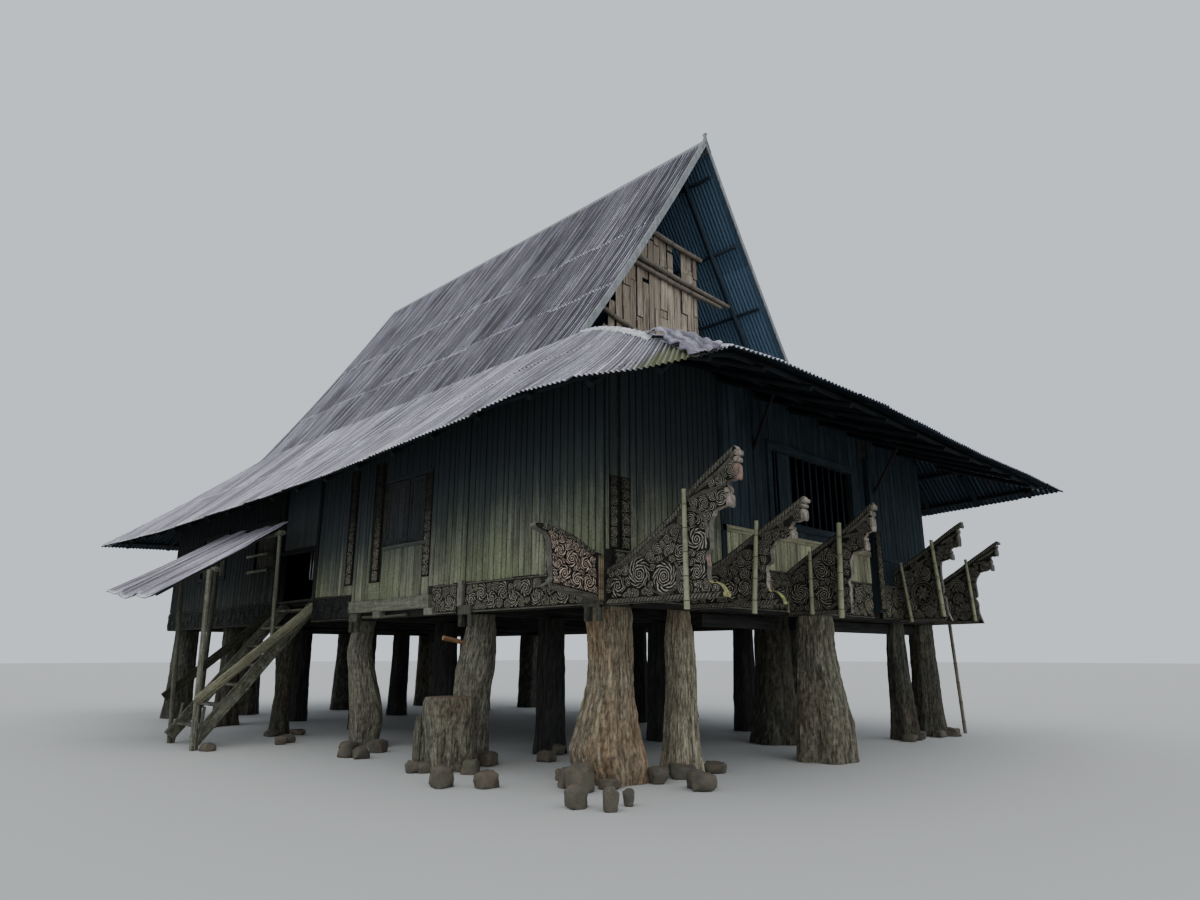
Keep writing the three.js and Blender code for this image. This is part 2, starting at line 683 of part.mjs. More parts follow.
// Heights at its low and high edges; the far end stands a little higher than the near one
const CANOPY_NEAR = [2165, 3500];
const CANOPY_FAR = [2340, 3560];
function canopyTop(x, y) {
  const up = (x + CANOPY_REACH) / (CANOPY_HIGH_X + CANOPY_REACH);
  const near = CANOPY_NEAR[0] + (CANOPY_NEAR[1] - CANOPY_NEAR[0]) * up;
  const far = CANOPY_FAR[0] + (CANOPY_FAR[1] - CANOPY_FAR[0]) * up;
  return near + ((far - near) * (y - CANOPY_FROM)) / (CANOPY_TO - CANOPY_FROM);
}
const canopyRows = (...across) => [CANOPY_HIGH_X, -CANOPY_REACH].map((x) => across.map((y) => [
  x, y, canopyTop(x, y),
]));
add("canopy_roof", sheet(canopyRows(CANOPY_FROM, CANOPY_TO), CANOPY_THICK), SHEET_IRON, 0.5, 0.6);

function canopyBeam(x) {
  const under = 75;
  return pole([x, -200, canopyTop(x, -200) - under], [x, 2750, canopyTop(x, 2750) - under], 42);
}
const canopyParts = [
  pole([-5950, -120, -30], [-6010, -80, 3000], 50, 42),
  pole([-5890, -95, -30], [-5835, -75, 610], 24),
  pole([-5830, 1250, -30], [-5985, 1220, 3000], 45, 40),
  pole([-5785, 1225, -30], [-5715, 1215, 610], 24),
  pole([-4960, -150, 1550], [-4960, -60, 3500], 32),
  pole([-4960, 2600, -30], [-4960, 2560, 3600], 45, 40),
  canopyBeam(-5940),
  canopyBeam(-4960),
  plank([-5990, -165, 700], [-4250, -165, 2194], 50, 140),
  plank([-5990, 1290, 700], [-4250, 1290, 2194], 50, 140),
];
const canopyCut = sheet(
  canopyRows(CANOPY_FROM - 500, CANOPY_FROM, CANOPY_TO, CANOPY_TO + 500),
  CANOPY_THICK + FIT_GAP,
  CUT_ABOVE,
);
add(
  "canopy_frame",
  joined(canopyParts).subtract(canopyCut).subtract(houseCut).subtract(belowGround),
  WOOD,
);

export default house;
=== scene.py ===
import math
import random

import bmesh
import bpy
import numpy as np
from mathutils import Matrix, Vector, noise
from mathutils.geometry import tessellate_polygon


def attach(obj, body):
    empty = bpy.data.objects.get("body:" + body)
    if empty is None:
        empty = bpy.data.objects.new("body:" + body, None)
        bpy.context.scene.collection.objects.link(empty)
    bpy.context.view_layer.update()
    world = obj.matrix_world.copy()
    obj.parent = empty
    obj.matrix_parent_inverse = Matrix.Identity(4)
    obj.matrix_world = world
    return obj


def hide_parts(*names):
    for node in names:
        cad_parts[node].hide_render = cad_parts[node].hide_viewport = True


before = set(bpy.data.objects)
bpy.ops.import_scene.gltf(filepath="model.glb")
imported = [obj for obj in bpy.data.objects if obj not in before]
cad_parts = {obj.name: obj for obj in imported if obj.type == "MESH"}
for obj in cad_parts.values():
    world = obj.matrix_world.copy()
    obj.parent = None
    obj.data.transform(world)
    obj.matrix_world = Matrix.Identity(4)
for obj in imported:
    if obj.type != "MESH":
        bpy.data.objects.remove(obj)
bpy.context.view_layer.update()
scene = bpy.context.scene

# All sizes are metres. They are taken from the hall's own middle, as in the part's source,
# and every piece is moved along X by this much when its mesh is made.
MIDDLE_SHIFT = 0.66

# Camera: at eye height off the near left corner, tilted up
EYE = (-10.48, -12.97, 1.36)
HEADING = (0.712, 0.702)
PITCH = math.radians(14.6)
LENS = 23.58

camera_data = bpy.data.cameras.new("camera")
camera_data.lens = LENS
camera_data.sensor_width = 36.0
camera_data.sensor_fit = "HORIZONTAL"
camera_data.clip_end = 500.0
camera = bpy.data.objects.new("camera", camera_data)
scene.collection.objects.link(camera)
camera.location = (EYE[0] + MIDDLE_SHIFT, EYE[1], EYE[2])
ahead = Vector((HEADING[0] * math.cos(PITCH), HEADING[1] * math.cos(PITCH), math.sin(PITCH)))
camera.rotation_euler = ahead.to_track_quat("-Z", "Y").to_euler()
scene.camera = camera


# Light and floor
def studio():
    world = bpy.data.worlds.new("studio")
    world.use_nodes = True
    background = world.node_tree.nodes["Background"]
    background.inputs["Color"].default_value = (0.80, 0.87, 0.95, 1.0)
    background.inputs["Strength"].default_value = 0.95
    scene.world = world
    sun_data = bpy.data.lights.new("sky_glow", "SUN")
    sun_data.energy = 1.1
    sun_data.angle = math.radians(70)
    sun_data.color = (1.0, 0.98, 0.95)
    sun = bpy.data.objects.new("sky_glow", sun_data)
    sun.rotation_euler = Vector((0.35, 0.45, -1.0)).to_track_quat("-Z", "Y").to_euler()
    scene.collection.objects.link(sun)
    half = 150.0
    mesh = bpy.data.meshes.new("floor_plane")
    corners = [(-half, -half, -0.002), (half, -half, -0.002), (half, half, -0.002),
               (-half, half, -0.002)]
    mesh.from_pydata(corners, [], [(0, 1, 2, 3)])
    plain = bpy.data.materials.new("plain_floor")
    plain.use_nodes = True
    shader = plain.node_tree.nodes["Principled BSDF"]
    shader.inputs["Base Color"].default_value = (0.50, 0.50, 0.48, 1.0)
    shader.inputs["Roughness"].default_value = 0.9
    mesh.materials.append(plain)
    ground = bpy.data.objects.new("floor_plane", mesh)
    scene.collection.objects.link(ground)


studio()


# Materials
def scaled(share, values, most=math.inf):
    """Each value times the share, up to the most allowed."""
    return tuple(min(most, share * value) for value in values)


class Look:
    """One material while it is being made. A mesh carries two attributes of its own: way, the
    run of its grain, and tone, the shade of each board or sheet."""

    def __init__(self, name):
        self.material = bpy.data.materials.new(name)
        self.material.use_nodes = True
        self.tree = self.material.node_tree
        self.shader = self.tree.nodes["Principled BSDF"]

    def give(self, node, key, value):
        """Links a socket to the input, or gives the input its value."""
        if isinstance(value, bpy.types.NodeSocket):
            self.tree.links.new(value, node.inputs[key])
        else:
            node.inputs[key].default_value = value

    def put(self, kind, inputs=(), **fields):
        node = self.tree.nodes.new(kind)
        for field, value in fields.items():
            setattr(node, field, value)
        for key, value in dict(inputs).items():
            self.give(node, key, value)
        return node

    def way(self):
        return self.put("ShaderNodeAttribute", attribute_name="way").outputs["Vector"]

    def tone(self):
        return self.put("ShaderNodeAttribute", attribute_name="tone").outputs["Fac"]

    def place(self):
        return self.put("ShaderNodeNewGeometry").outputs["Position"]

    def axis(self, vector, name):
        return self.put("ShaderNodeSeparateXYZ", {"Vector": vector}).outputs[name]

    def math(self, operation, *values):
        return self.put("ShaderNodeMath", dict(enumerate(values)), operation=operation).outputs[0]

    def times(self, a, b):
        return self.math("MULTIPLY", a, b)

    def noise(self, source, scale, detail=5.0, roughness=0.6, offset=(0, 0, 0)):
        """Noise with a scale of its own along each axis of the source."""
        spread = self.put("ShaderNodeMapping", {
            "Vector": source, "Scale": scale, "Location": offset,
        })
        return self.put("ShaderNodeTexNoise", {
            "Vector": spread.outputs["Vector"], "Scale": 1.0, "Detail": detail,
            "Roughness": roughness,
        }).outputs["Fac"]

    def band(self, factor, low, high, start=0.0, end=1.0):
        """Carries the stretch from low to high over to the stretch from start to end."""
        return self.put("ShaderNodeMapRange", {
            "Value": factor, "From Min": low, "From Max": high, "To Min": start, "To Max": end,
        }).outputs["Result"]

    def ramp(self, factor, stops):
        node = self.put("ShaderNodeValToRGB", {"Fac": factor})
        elements = node.color_ramp.elements
        while len(elements) < len(stops):
            elements.new(0.5)
        for element, (position, colour) in zip(elements, stops):
            element.position = position
            element.color = (*colour, 1.0)
        return node.outputs["Color"]

    def mix(self, factor, a, b, kind="MIX"):
        node = self.put("ShaderNodeMix", data_type="RGBA", blend_type=kind)
        self.give(node, 0, factor)
        for number, colour in ((6, a), (7, b)):
            linked = isinstance(colour, bpy.types.NodeSocket)
            self.give(node, number, colour if linked else (*colour, 1.0))
        return node.outputs[2]

    def stain_or_shade(self, colour, cloud, low, high, strength, other):
        """Lays another colour over the dense parts of a cloud: real stains, and in the carving a
        painted shade that rises with height.
        """
        return self.mix(self.times(self.band(cloud, low, high), strength), colour, other)

    def toned(self, colour, tone, darkest, palest):
        """Makes each board or sheet paler or darker by its own tone."""
        light = self.band(tone, 0.0, 1.0, darkest, palest)
        grey = self.put("ShaderNodeCombineColor", {"Red": light, "Green": light, "Blue": light})
        return self.mix(1.0, colour, grey.outputs["Color"], "MULTIPLY")

    def finish(self, colour, rough, height, distance, strength=0.6, specular=None):
        """Sets the shader; height and distance give the bumps."""
        bump = self.put("ShaderNodeBump", {
            "Height": height, "Distance": distance, "Strength": strength,
        })
        self.give(self.shader, "Base Color", colour)
        self.give(self.shader, "Roughness", rough)
        self.give(self.shader, "Normal", bump.outputs["Normal"])
        if specular is not None:
            self.give(self.shader, "Specular IOR Level", specular)
        return self.material


def wood(name, dark, pale, moss=None, moss_amount=0.45, tint=None, shade=None,
         stretch=(2.0, 34, 34), by_position=False, grain=0.006, tones=(0.62, 1.28), streaks=0.45):
    """Weathered timber. Grain follows each piece's own length, or the given axes where the mesh is
    the part's own. shade is (height of full colour, height of full darkness) of a painted shade
    that darkens the walls upwards into the shadow of the eaves. tones are the darkest and palest
    boards."""
    look = Look(name)
    place = look.place()
    along = place if by_position else look.way()
    sooty = scaled(0.35, dark)
    middle = tuple(0.5 * (a + b) for a, b in zip(dark, pale))
    fibre = look.noise(along, stretch, 7.0, 0.68)
    broad = look.noise(along, scaled(0.22, stretch), 3.0, 0.5)
    runs = look.noise(along, scaled(0.5, stretch), 4.0, 0.6, (9.0, 2.0, 5.0))
    patches = look.noise(place, (1.3, 1.3, 1.1), 4.0, 0.6)
    colour = look.ramp(fibre, [(0.32, scaled(0.30, dark)), (0.43, dark), (0.54, middle),
                               (0.68, pale)])
    colour = look.stain_or_shade(colour, broad, 0.42, 0.64, 0.55, pale)
    colour = look.stain_or_shade(colour, runs, 0.52, 0.68, streaks, sooty)
    colour = look.stain_or_shade(colour, patches, 0.44, 0.68, 0.5, dark)
    if tint is not None:
        wash = look.noise(place, (0.9, 0.9, 0.55), 3.0, 0.55, (4.0, 1.0, 2.0))
        colour = look.stain_or_shade(colour, wash, 0.46, 0.62, 0.6, tint)
    if moss is not None:
        spots = look.noise(place, (11, 11, 8), 6.0, 0.72, (3.0, 7.0, 1.0))
        colour = look.stain_or_shade(colour, spots, 0.50, 0.66, moss_amount, moss)
        pits = look.noise(place, (42, 42, 26), 4.0, 0.7, (6.0, 2.0, 5.0))
        colour = look.stain_or_shade(colour, pits, 0.52, 0.64, 0.6, sooty)
    if not by_position:
        colour = look.toned(colour, look.tone(), *tones)
    if shade is not None:
        # Painted shade of the eaves, towards a bluish dark: it comes lower on the far side, where
        # the eave is lower, and its edge is ragged from board to board
        level = look.math("MULTIPLY_ADD", look.axis(place, "Y"), 0.06, look.axis(place, "Z"))
        ragged = look.noise(along, (0.5, 11, 11), 4.0, 0.65)
        wander = look.math("MULTIPLY_ADD", ragged, 1.1, level)
        eave_shade = look.ramp(look.band(wander, *shade), [
            (0.0, (0, 0, 0)), (0.30, (0.42,) * 3), (0.62, (0.86,) * 3), (1.0, (0.97,) * 3)])
        colour = look.mix(eave_shade, colour, scaled(dark[0], (0.20, 0.26, 0.31)))
    rough = look.band(fibre, 0.3, 0.7, 1.0, 0.85)
    return look.finish(colour, rough, fibre, grain, specular=0.25)


def bark(name, dark, pale, moss_amount, tint, moss):
    return wood(name, dark, pale, moss, moss_amount, tint, stretch=(4.5, 80, 80), grain=0.018,
                tones=(0.25, 1.60), streaks=0.8)


def sheet_iron(name, dull, bright, rust=(0.10, 0.065, 0.055), rust_amount=0.4, ribbed=True,
               brown=None, moss_at=None):
    """Weathered iron sheet. way is (across the sheet, down the slope, sheet number). brown is
    the colour of the broad stains and moss_at the middle of a mossy patch."""
    look = Look(name)
    along, tone, place = look.way(), look.tone(), look.place()
    streaks = look.noise(along, (21, 0.5, 3.1), 5.0, 0.66)
    runs = look.noise(along, (32, 0.5, 1.7), 3.0, 0.65)
    washes = look.noise(along, (3.4, 0.30, 0.9), 4.0, 0.6, (1.0, 6.0, 2.0))
    patches = look.noise(along, (0.5, 0.42, 0.6), 4.0, 0.6)
    grit = look.noise(place, (46, 46, 46), 3.0, 0.7, (2.0, 4.0, 6.0))
    flakes = look.noise(place, (5, 5, 5), 8.0, 0.75)
    colour = look.mix(look.band(streaks, 0.42, 0.58), dull, bright)
    # Painted shade in the valleys of the corrugation, partly dirt too, and painted highlights along
    # the crests
    if ribbed:
        turn = look.times(look.axis(along, "X"), 2 * math.pi / PITCH_IRON)
        crest = look.band(look.math("COSINE", turn), -0.55, 0.75)
        valley_dirt_and_shade = look.math("SUBTRACT", 1.0, crest)
        colour = look.mix(look.times(valley_dirt_and_shade, 0.95), colour, scaled(0.12, dull))
        lift = look.times(crest, look.band(runs, 0.49, 0.58))
        colour = look.mix(look.times(lift, 0.85), colour, scaled(2.0, bright, 1.0))
    else:
        colour = look.stain_or_shade(colour, runs, 0.46, 0.62, 0.3, dull)
    colour = look.stain_or_shade(colour, washes, 0.48, 0.62, 0.30, dull)
    colour = look.stain_or_shade(colour, patches, 0.46, 0.62, 0.35, dull)
    if brown is not None:
        broad = look.noise(along, (1.3, 0.55, 0.8), 5.0, 0.65, (7.0, 1.0, 4.0))
        colour = look.stain_or_shade(colour, broad, 0.50, 0.64, 0.45, brown)
    colour = look.stain_or_shade(colour, grit, 0.46, 0.62, 0.50, scaled(0.55, dull))
    colour = look.stain_or_shade(colour, flakes, 0.55, 0.70, rust_amount, rust)
    colour = look.toned(colour, tone, 0.52, 1.42)
    # Tones past 0.88 mark a lap: a painted highlight along the lapped edge, broken up by the grit
    lap_highlight = look.times(look.band(tone, 0.88, 1.0), look.band(grit, 0.44, 0.52))
    colour = look.mix(look.times(lap_highlight, 0.6), colour, scaled(2.0, bright, 0.8))
    if moss_at is not None:
        away = look.put("ShaderNodeVectorMath", {0: place, 1: moss_at}, operation="DISTANCE")
        colour = look.stain_or_shade(colour, away.outputs["Value"], 0.55, 0.25, 0.75, (0.115, 0.125, 0.045))
    rough = look.band(streaks, 0.3, 0.7, 0.88, 0.68)
    return look.finish(colour, rough, flakes, 0.002, 0.4, 0.12)


def carving(name, ground, dark, pale, moss=None, shade=None):
    """Carved scrollwork: ribs that wind round each scroll, strands that flow out from it and dark
    cuts between the scrolls. The ground colour, which shows in the cuts and between the ribs, is
    painted shade of the deep hollows. way is (turn of the winding, turn of the strands, nearness to
    the scroll's edge) and tone is the distance from its centre in radii. shade is (height of full
    colour, height of full darkness) of a painted shade that darkens the carving upwards."""
    look = Look(name)
    way, share, place = look.way(), look.tone(), look.place()
    sway = look.times(look.noise(place, (13, 13, 13), 2.0, 0.5, (1.0, 8.0, 3.0)), 9.0)
    winding, strands = (look.math("COSINE", look.math("ADD", look.axis(way, axis), sway))
                        for axis in ("X", "Y"))
    rim = look.band(share, 0.62, 0.78)
    ribs = look.put("ShaderNodeMix", {0: rim, 2: winding, 3: strands}).outputs[0]
    # Painted shade: the ground colour fills the cuts round each scroll and the hollows between the
    # ribs
    cut = look.band(look.axis(way, "Z"), 0.86, 0.97)
    shown = look.times(look.band(ribs, -0.15, 0.70), look.math("SUBTRACT", 1.0, cut))
    fibre = look.noise(place, (34, 34, 34), 6.0, 0.7)
    patches = look.noise(place, (2.6, 2.6, 2.6), 4.0, 0.6, (5.0, 3.0, 1.0))
    colour = look.mix(look.band(fibre, 0.36, 0.66), dark, pale)
    colour = look.stain_or_shade(colour, patches, 0.48, 0.66, 0.55, dark)
    if moss is not None:
        spots = look.noise(place, (11, 11, 8), 6.0, 0.72, (3.0, 7.0, 1.0))
        colour = look.stain_or_shade(colour, spots, 0.52, 0.66, 0.4, moss)
    colour = look.mix(shown, ground, colour)
    # Painted shade that darkens the carving upwards into the shadow of the eaves
    if shade is not None:
        colour = look.stain_or_shade(colour, look.axis(place, "Z"), *shade, 0.85, ground)
    return look.finish(colour, 0.88, shown, 0.012, 0.9, 0.25)


def bamboo(name, fresh, grey, joint):
    """Bamboo. Tones past 0.80 mark a joint."""
    look = Look(name)
    streaks = look.noise(look.way(), (1.6, 60, 60), 5.0, 0.6)
    blots = look.noise(look.place(), (7, 7, 7), 5.0, 0.65)
    colour = look.mix(look.band(streaks, 0.35, 0.68), fresh, grey)
    colour = look.stain_or_shade(colour, blots, 0.50, 0.68, 0.6, joint)
    colour = look.mix(look.band(look.tone(), 0.80, 0.95), colour, joint)
    return look.finish(colour, 0.55, streaks, 0.0015, 0.5)


def stone(name, base, rusty, lichen):
    """Field stone with rusty clouds and lichen."""
    look = Look(name)
    place = look.place()
    cloud = look.noise(place, (6, 6, 6), 6.0, 0.65)
    pits = look.noise(place, (45, 45, 45), 5.0, 0.7)
    patch = look.noise(place, (3.1, 3.1, 4.0), 5.0, 0.7, (2.0, 5.0, 0.0))
    colour = look.mix(look.band(cloud, 0.38, 0.62), base, rusty)
    colour = look.stain_or_shade(colour, patch, 0.52, 0.66, 0.6, lichen)
    colour = look.stain_or_shade(colour, pits, 0.52, 0.68, 0.5, scaled(0.4, base))
    return look.finish(colour, 0.93, pits, 0.006)


def old_paint(name, paint, worn=(0.46, 0.60)):
    """A cut wooden edge with what is left of its paint."""
    look = Look(name)
    wear = look.noise(look.place(), (26, 26, 18), 6.0, 0.7)
    grime = look.noise(look.place(), (7, 7, 7), 5.0, 0.65, (3.0, 1.0, 8.0))
    colour = look.mix(look.band(wear, *worn), paint, EDGE_WOOD)
    colour = look.stain_or_shade(colour, grime, 0.46, 0.64, 0.6, scaled(0.4, EDGE_WOOD))
    return look.finish(colour, 0.85, wear, 0.003)


PITCH_IRON = 0.076
LICHEN = (0.30, 0.31, 0.24)
DARK_MOSS = (0.16, 0.17, 0.11)
EDGE_WOOD = (0.085, 0.080, 0.066)
# Painted shade of the deep cuts in the carving
HOLLOW_SHADE = (0.007, 0.0065, 0.005)

iron_roof = sheet_iron("iron_roof", (0.090, 0.084, 0.103), (0.315, 0.304, 0.345),
                       rust_amount=0.30, brown=(0.125, 0.098, 0.106))
iron_skirt = sheet_iron("iron_skirt", (0.135, 0.128, 0.150), (0.460, 0.447, 0.495),
                        rust_amount=0.30, brown=(0.180, 0.145, 0.150),
                        moss_at=(-4.72, -8.80, 3.95))
# Undersides of the sheets: painted shade, dark and bluish
iron_underside_in_shade = sheet_iron("iron_underside", (0.018, 0.031, 0.045), (0.036, 0.056, 0.078))
iron_blue = sheet_iron("iron_blue_underside", (0.120, 0.200, 0.290), (0.165, 0.260, 0.365),
                       rust_amount=0.1, ribbed=False)
iron_trim = sheet_iron("iron_trim", (0.24, 0.25, 0.255), (0.38, 0.39, 0.40), rust_amount=0.2,
                       ribbed=False)
iron_pale = sheet_iron("iron_pale_strip", (0.62, 0.62, 0.64), (0.86, 0.86, 0.88),
                       rust_amount=0.3, ribbed=False)
iron_loose = sheet_iron("iron_loose", (0.150, 0.138, 0.172), (0.44, 0.415, 0.48),
                        rust_amount=0.2, ribbed=False)
iron_canopy = sheet_iron("iron_canopy", (0.130, 0.120, 0.142), (0.44, 0.42, 0.47),
                         (0.17, 0.12, 0.11), 0.4, brown=(0.30, 0.19, 0.19))
# shade gives a painted shade under the eaves
board_wood = wood("board_wood", (0.125, 0.124, 0.084), (0.365, 0.370, 0.250), LICHEN, 0.5,
                  (0.165, 0.190, 0.100), (2.68, 4.05), tones=(0.60, 1.30), streaks=0.6)
# A darker copy of the wall boards for the rear of the left wall: painted shade
far_board_in_shade = wood("far_board_in_shade", (0.024, 0.030, 0.022), (0.072, 0.086, 0.064), DARK_MOSS, 0.4,
                 shade=(2.50, 4.20), tones=(0.5, 1.4), streaks=0.6)
# Front wall boards, posts and frames under the deep eave: painted shade, dark and bluish
front_wood_in_shade = wood("front_wood_in_shade", (0.014, 0.023, 0.029), (0.042, 0.062, 0.074), streaks=0.6)
# shade gives a painted shade under the eaves
pale_panel = wood("pale_panel", (0.14, 0.14, 0.105), (0.29, 0.29, 0.22), DARK_MOSS,
                  shade=(2.9, 4.6))
front_plank = wood("front_plank", (0.240, 0.230, 0.140), (0.66, 0.645, 0.43), LICHEN,
                   tones=(0.45, 1.35), streaks=0.9)
shutter_wood = wood("shutter_wood", (0.020, 0.022, 0.024), (0.050, 0.053, 0.056),
                    (0.09, 0.09, 0.07), 0.25)
bracket_wood = wood("bracket_wood", (0.030, 0.029, 0.023), (0.115, 0.110, 0.086), DARK_MOSS)
ochre_wood = wood("ochre_wood", (0.130, 0.098, 0.062), (0.300, 0.235, 0.150), tones=(0.5, 1.4))
# Poles under the roof: painted shade, near black and bluish
roof_timber_in_shade = wood("roof_timber_in_shade", (0.006, 0.008, 0.010), (0.018, 0.023, 0.028))
slope_timber = wood("slope_timber", (0.030, 0.045, 0.060), (0.070, 0.095, 0.125))
dark_timber = wood("dark_timber", (0.012, 0.012, 0.011), (0.036, 0.035, 0.030))
inner_wood = wood("inner_wood", (0.018, 0.017, 0.014), (0.050, 0.046, 0.037), by_position=True,
                  stretch=(6, 6, 6))
rear_gable = wood("rear_gable", (0.20, 0.155, 0.10), (0.40, 0.33, 0.24), by_position=True,
                  stretch=(26, 26, 1.6))
carved_wood = wood("carved_wood", (0.105, 0.095, 0.075), (0.28, 0.260, 0.210), LICHEN, 0.25,
                   stretch=(6, 50, 50), grain=0.003)
# The dark ground under the carving and its strips: painted shade of the hollows
hollow_shade_wood = wood("hollow_shade_wood", (0.012, 0.011, 0.009), (0.030, 0.028, 0.023),
                     by_position=True, stretch=(14, 14, 14))
scroll_wood = carving("scroll_wood", HOLLOW_SHADE, (0.170, 0.155, 0.118), (0.560, 0.510, 0.410),
                      LICHEN)
# shade gives a painted shade, darker upwards into the shadow of the eaves
scroll_dull = carving("scroll_dull", HOLLOW_SHADE, (0.165, 0.152, 0.112), (0.560, 0.515, 0.380),
                      LICHEN, (2.70, 3.50))
# A darker copy of the carving for the far beams: painted shade
scroll_in_shade = carving("scroll_in_shade", (0.005, 0.005, 0.0045), (0.024, 0.026, 0.022),
                     (0.070, 0.072, 0.060))
scroll_red = carving("scroll_red", (0.014, 0.010, 0.007), (0.520, 0.370, 0.280),
                     (0.960, 0.800, 0.660))
trunk_wood = bark("trunk_wood", (0.095, 0.088, 0.066), (0.295, 0.275, 0.215), 0.35,
                  (0.17, 0.150, 0.108), LICHEN)
trunk_yellow = bark("trunk_yellow", (0.160, 0.140, 0.096), (0.480, 0.428, 0.305), 0.3,
                    (0.30, 0.195, 0.125), LICHEN)
trunk_green = bark("trunk_green", (0.080, 0.074, 0.053), (0.245, 0.228, 0.168), 0.30,
                   (0.15, 0.112, 0.076), LICHEN)
trunk_red = bark("trunk_red", (0.128, 0.100, 0.066), (0.390, 0.318, 0.215), 0.4,
                 (0.27, 0.160, 0.085), LICHEN)
trunk_grey = bark("trunk_grey", (0.034, 0.034, 0.027), (0.110, 0.108, 0.086), 0.25,
                  (0.075, 0.058, 0.040), DARK_MOSS)
trunk_dark = wood("trunk_dark", (0.018, 0.018, 0.016), (0.060, 0.060, 0.052),
                  stretch=(3, 50, 50), grain=0.01, streaks=0.6)
stump_top = wood("stump_top", (0.11, 0.085, 0.060), (0.24, 0.19, 0.135), LICHEN, 0.3,
                 (0.20, 0.12, 0.08), by_position=True, stretch=(9, 9, 9))
stair_wood = wood("stair_wood", (0.062, 0.060, 0.044), (0.230, 0.224, 0.165), LICHEN, 0.6,
                  streaks=0.7, stretch=(5, 40, 40), tones=(0.35, 1.5))
pole_wood = wood("pole_wood", (0.075, 0.074, 0.054), (0.250, 0.246, 0.182), LICHEN, 0.4,
                 streaks=0.7, stretch=(2, 60, 60), tones=(0.25, 1.3))
rail_wood = wood("rail_wood", (0.110, 0.104, 0.066), (0.300, 0.288, 0.190), LICHEN, 0.4,
                 streaks=0.6, stretch=(3, 50, 50), tones=(0.12, 1.35))
sill_wood = wood("sill_wood", (0.094, 0.091, 0.068), (0.228, 0.224, 0.170), LICHEN,
                 tones=(0.5, 1.35), streaks=0.6)
peg_wood = wood("peg_wood", (0.20, 0.10, 0.045), (0.42, 0.25, 0.13), stretch=(2, 40, 40))
flat_bamboo = wood("flat_bamboo", (0.215, 0.168, 0.125), (0.57, 0.485, 0.380),
                   tint=(0.20, 0.15, 0.11), stretch=(3.0, 46, 46), grain=0.004,
                   tones=(0.62, 1.25), streaks=0.8)
bamboo_pale = bamboo("bamboo_pale", (0.27, 0.285, 0.155), (0.33, 0.325, 0.225),
                     (0.085, 0.080, 0.050))
bamboo_dull = bamboo("bamboo_dull", (0.105, 0.085, 0.060), (0.225, 0.190, 0.140),
                     (0.040, 0.034, 0.026))
rock = stone("rock", (0.078, 0.070, 0.056), (0.140, 0.112, 0.080), (0.11, 0.115, 0.080))
FINISHES = {
    "edge": old_paint("edge_wood", (0.150, 0.140, 0.115)),
    "yellow": old_paint("painted_yellow", (0.35, 0.345, 0.115), (0.48, 0.64)),
    "pink": old_paint("painted_pink", (0.31, 0.185, 0.150), (0.46, 0.61)),
    "pale": old_paint("painted_pale", (0.34, 0.285, 0.225), (0.46, 0.62)),
}


# Meshes
class Shape:
    """Points, faces, grain coordinates and tones of one piece."""

    def __init__(self):
        self.points = []
        self.ways = []
        self.tones = []
        self.faces = []
        self.kinds = []
        self.count = 0

    def add(self, points, faces, way=None, tone=0.5, kind=0):
        points = np.asarray(points, float).reshape(-1, 3)
        way = points if way is None else np.asarray(way, float).reshape(-1, 3)
        tone = np.full(len(points), tone, float) if np.isscalar(tone) else np.ravel(tone)
        self.points.append(points)
        self.ways.append(way)
        self.tones.append(tone)
        if isinstance(faces, np.ndarray):
            self.faces.extend((faces + self.count).tolist())
        else:
            self.faces.extend([i + self.count for i in face] for face in faces)
        self.kinds.extend([kind] * len(faces) if np.isscalar(kind) else kind)
        self.count += len(points)


def piece(name, shape, materials, replaces, crease):
    """Makes the object. Edges sharper than crease degrees stay sharp."""
    points = np.concatenate(shape.points) + [MIDDLE_SHIFT, 0.0, 0.0]
    mesh = bpy.data.meshes.new(name)
    mesh.from_pydata(points.tolist(), [], shape.faces)
    way = mesh.attributes.new("way", "FLOAT_VECTOR", "POINT")
    way.data.foreach_set("vector", np.concatenate(shape.ways).astype(np.float32).ravel())
    tone = mesh.attributes.new("tone", "FLOAT", "POINT")
    tone.data.foreach_set("value", np.concatenate(shape.tones).astype(np.float32))
    for material in materials:
        mesh.materials.append(material)
    mesh.polygons.foreach_set("material_index", shape.kinds)
    mesh.polygons.foreach_set("use_smooth", [True] * len(shape.faces))
    mesh.set_sharp_from_angle(angle=math.radians(crease))
    mesh.update()
    obj = bpy.data.objects.new(name, mesh)
    scene.collection.objects.link(obj)
    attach(obj, "root")
    if replaces:
        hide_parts(*replaces)


def unit(v):
    """The vector at length one."""
    v = np.asarray(v, float)
    return v / np.linalg.norm(v)


def lengths_along(path):
    """How far along the path each of its points lies."""
    return np.concatenate([[0.0], np.cumsum(np.linalg.norm(np.diff(path, axis=0), axis=1))])


def grid_faces(rows, columns, closed=False, turned=False):
    """The four-sided faces between rows of points."""
    last = columns if closed else columns - 1
    r, c = np.meshgrid(np.arange(rows - 1), np.arange(last), indexing="ij")
    d = (c + 1) % columns
    quads = np.stack([r * columns + c, r * columns + d, (r + 1) * columns + d,
                      (r + 1) * columns + c], axis=-1).reshape(-1, 4)
    return quads[:, ::-1] if turned else quads


def sheet_faces(shape, upper, lower, facing_up, way, tones, under_kind=0):
    """The upper and the under face of a thin sheet."""
    faces = grid_faces(*upper.shape[:2], turned=not facing_up)
    shape.add(upper, faces, way, tones[0])
    shape.add(lower, faces[:, ::-1], way, tones[1], under_kind)


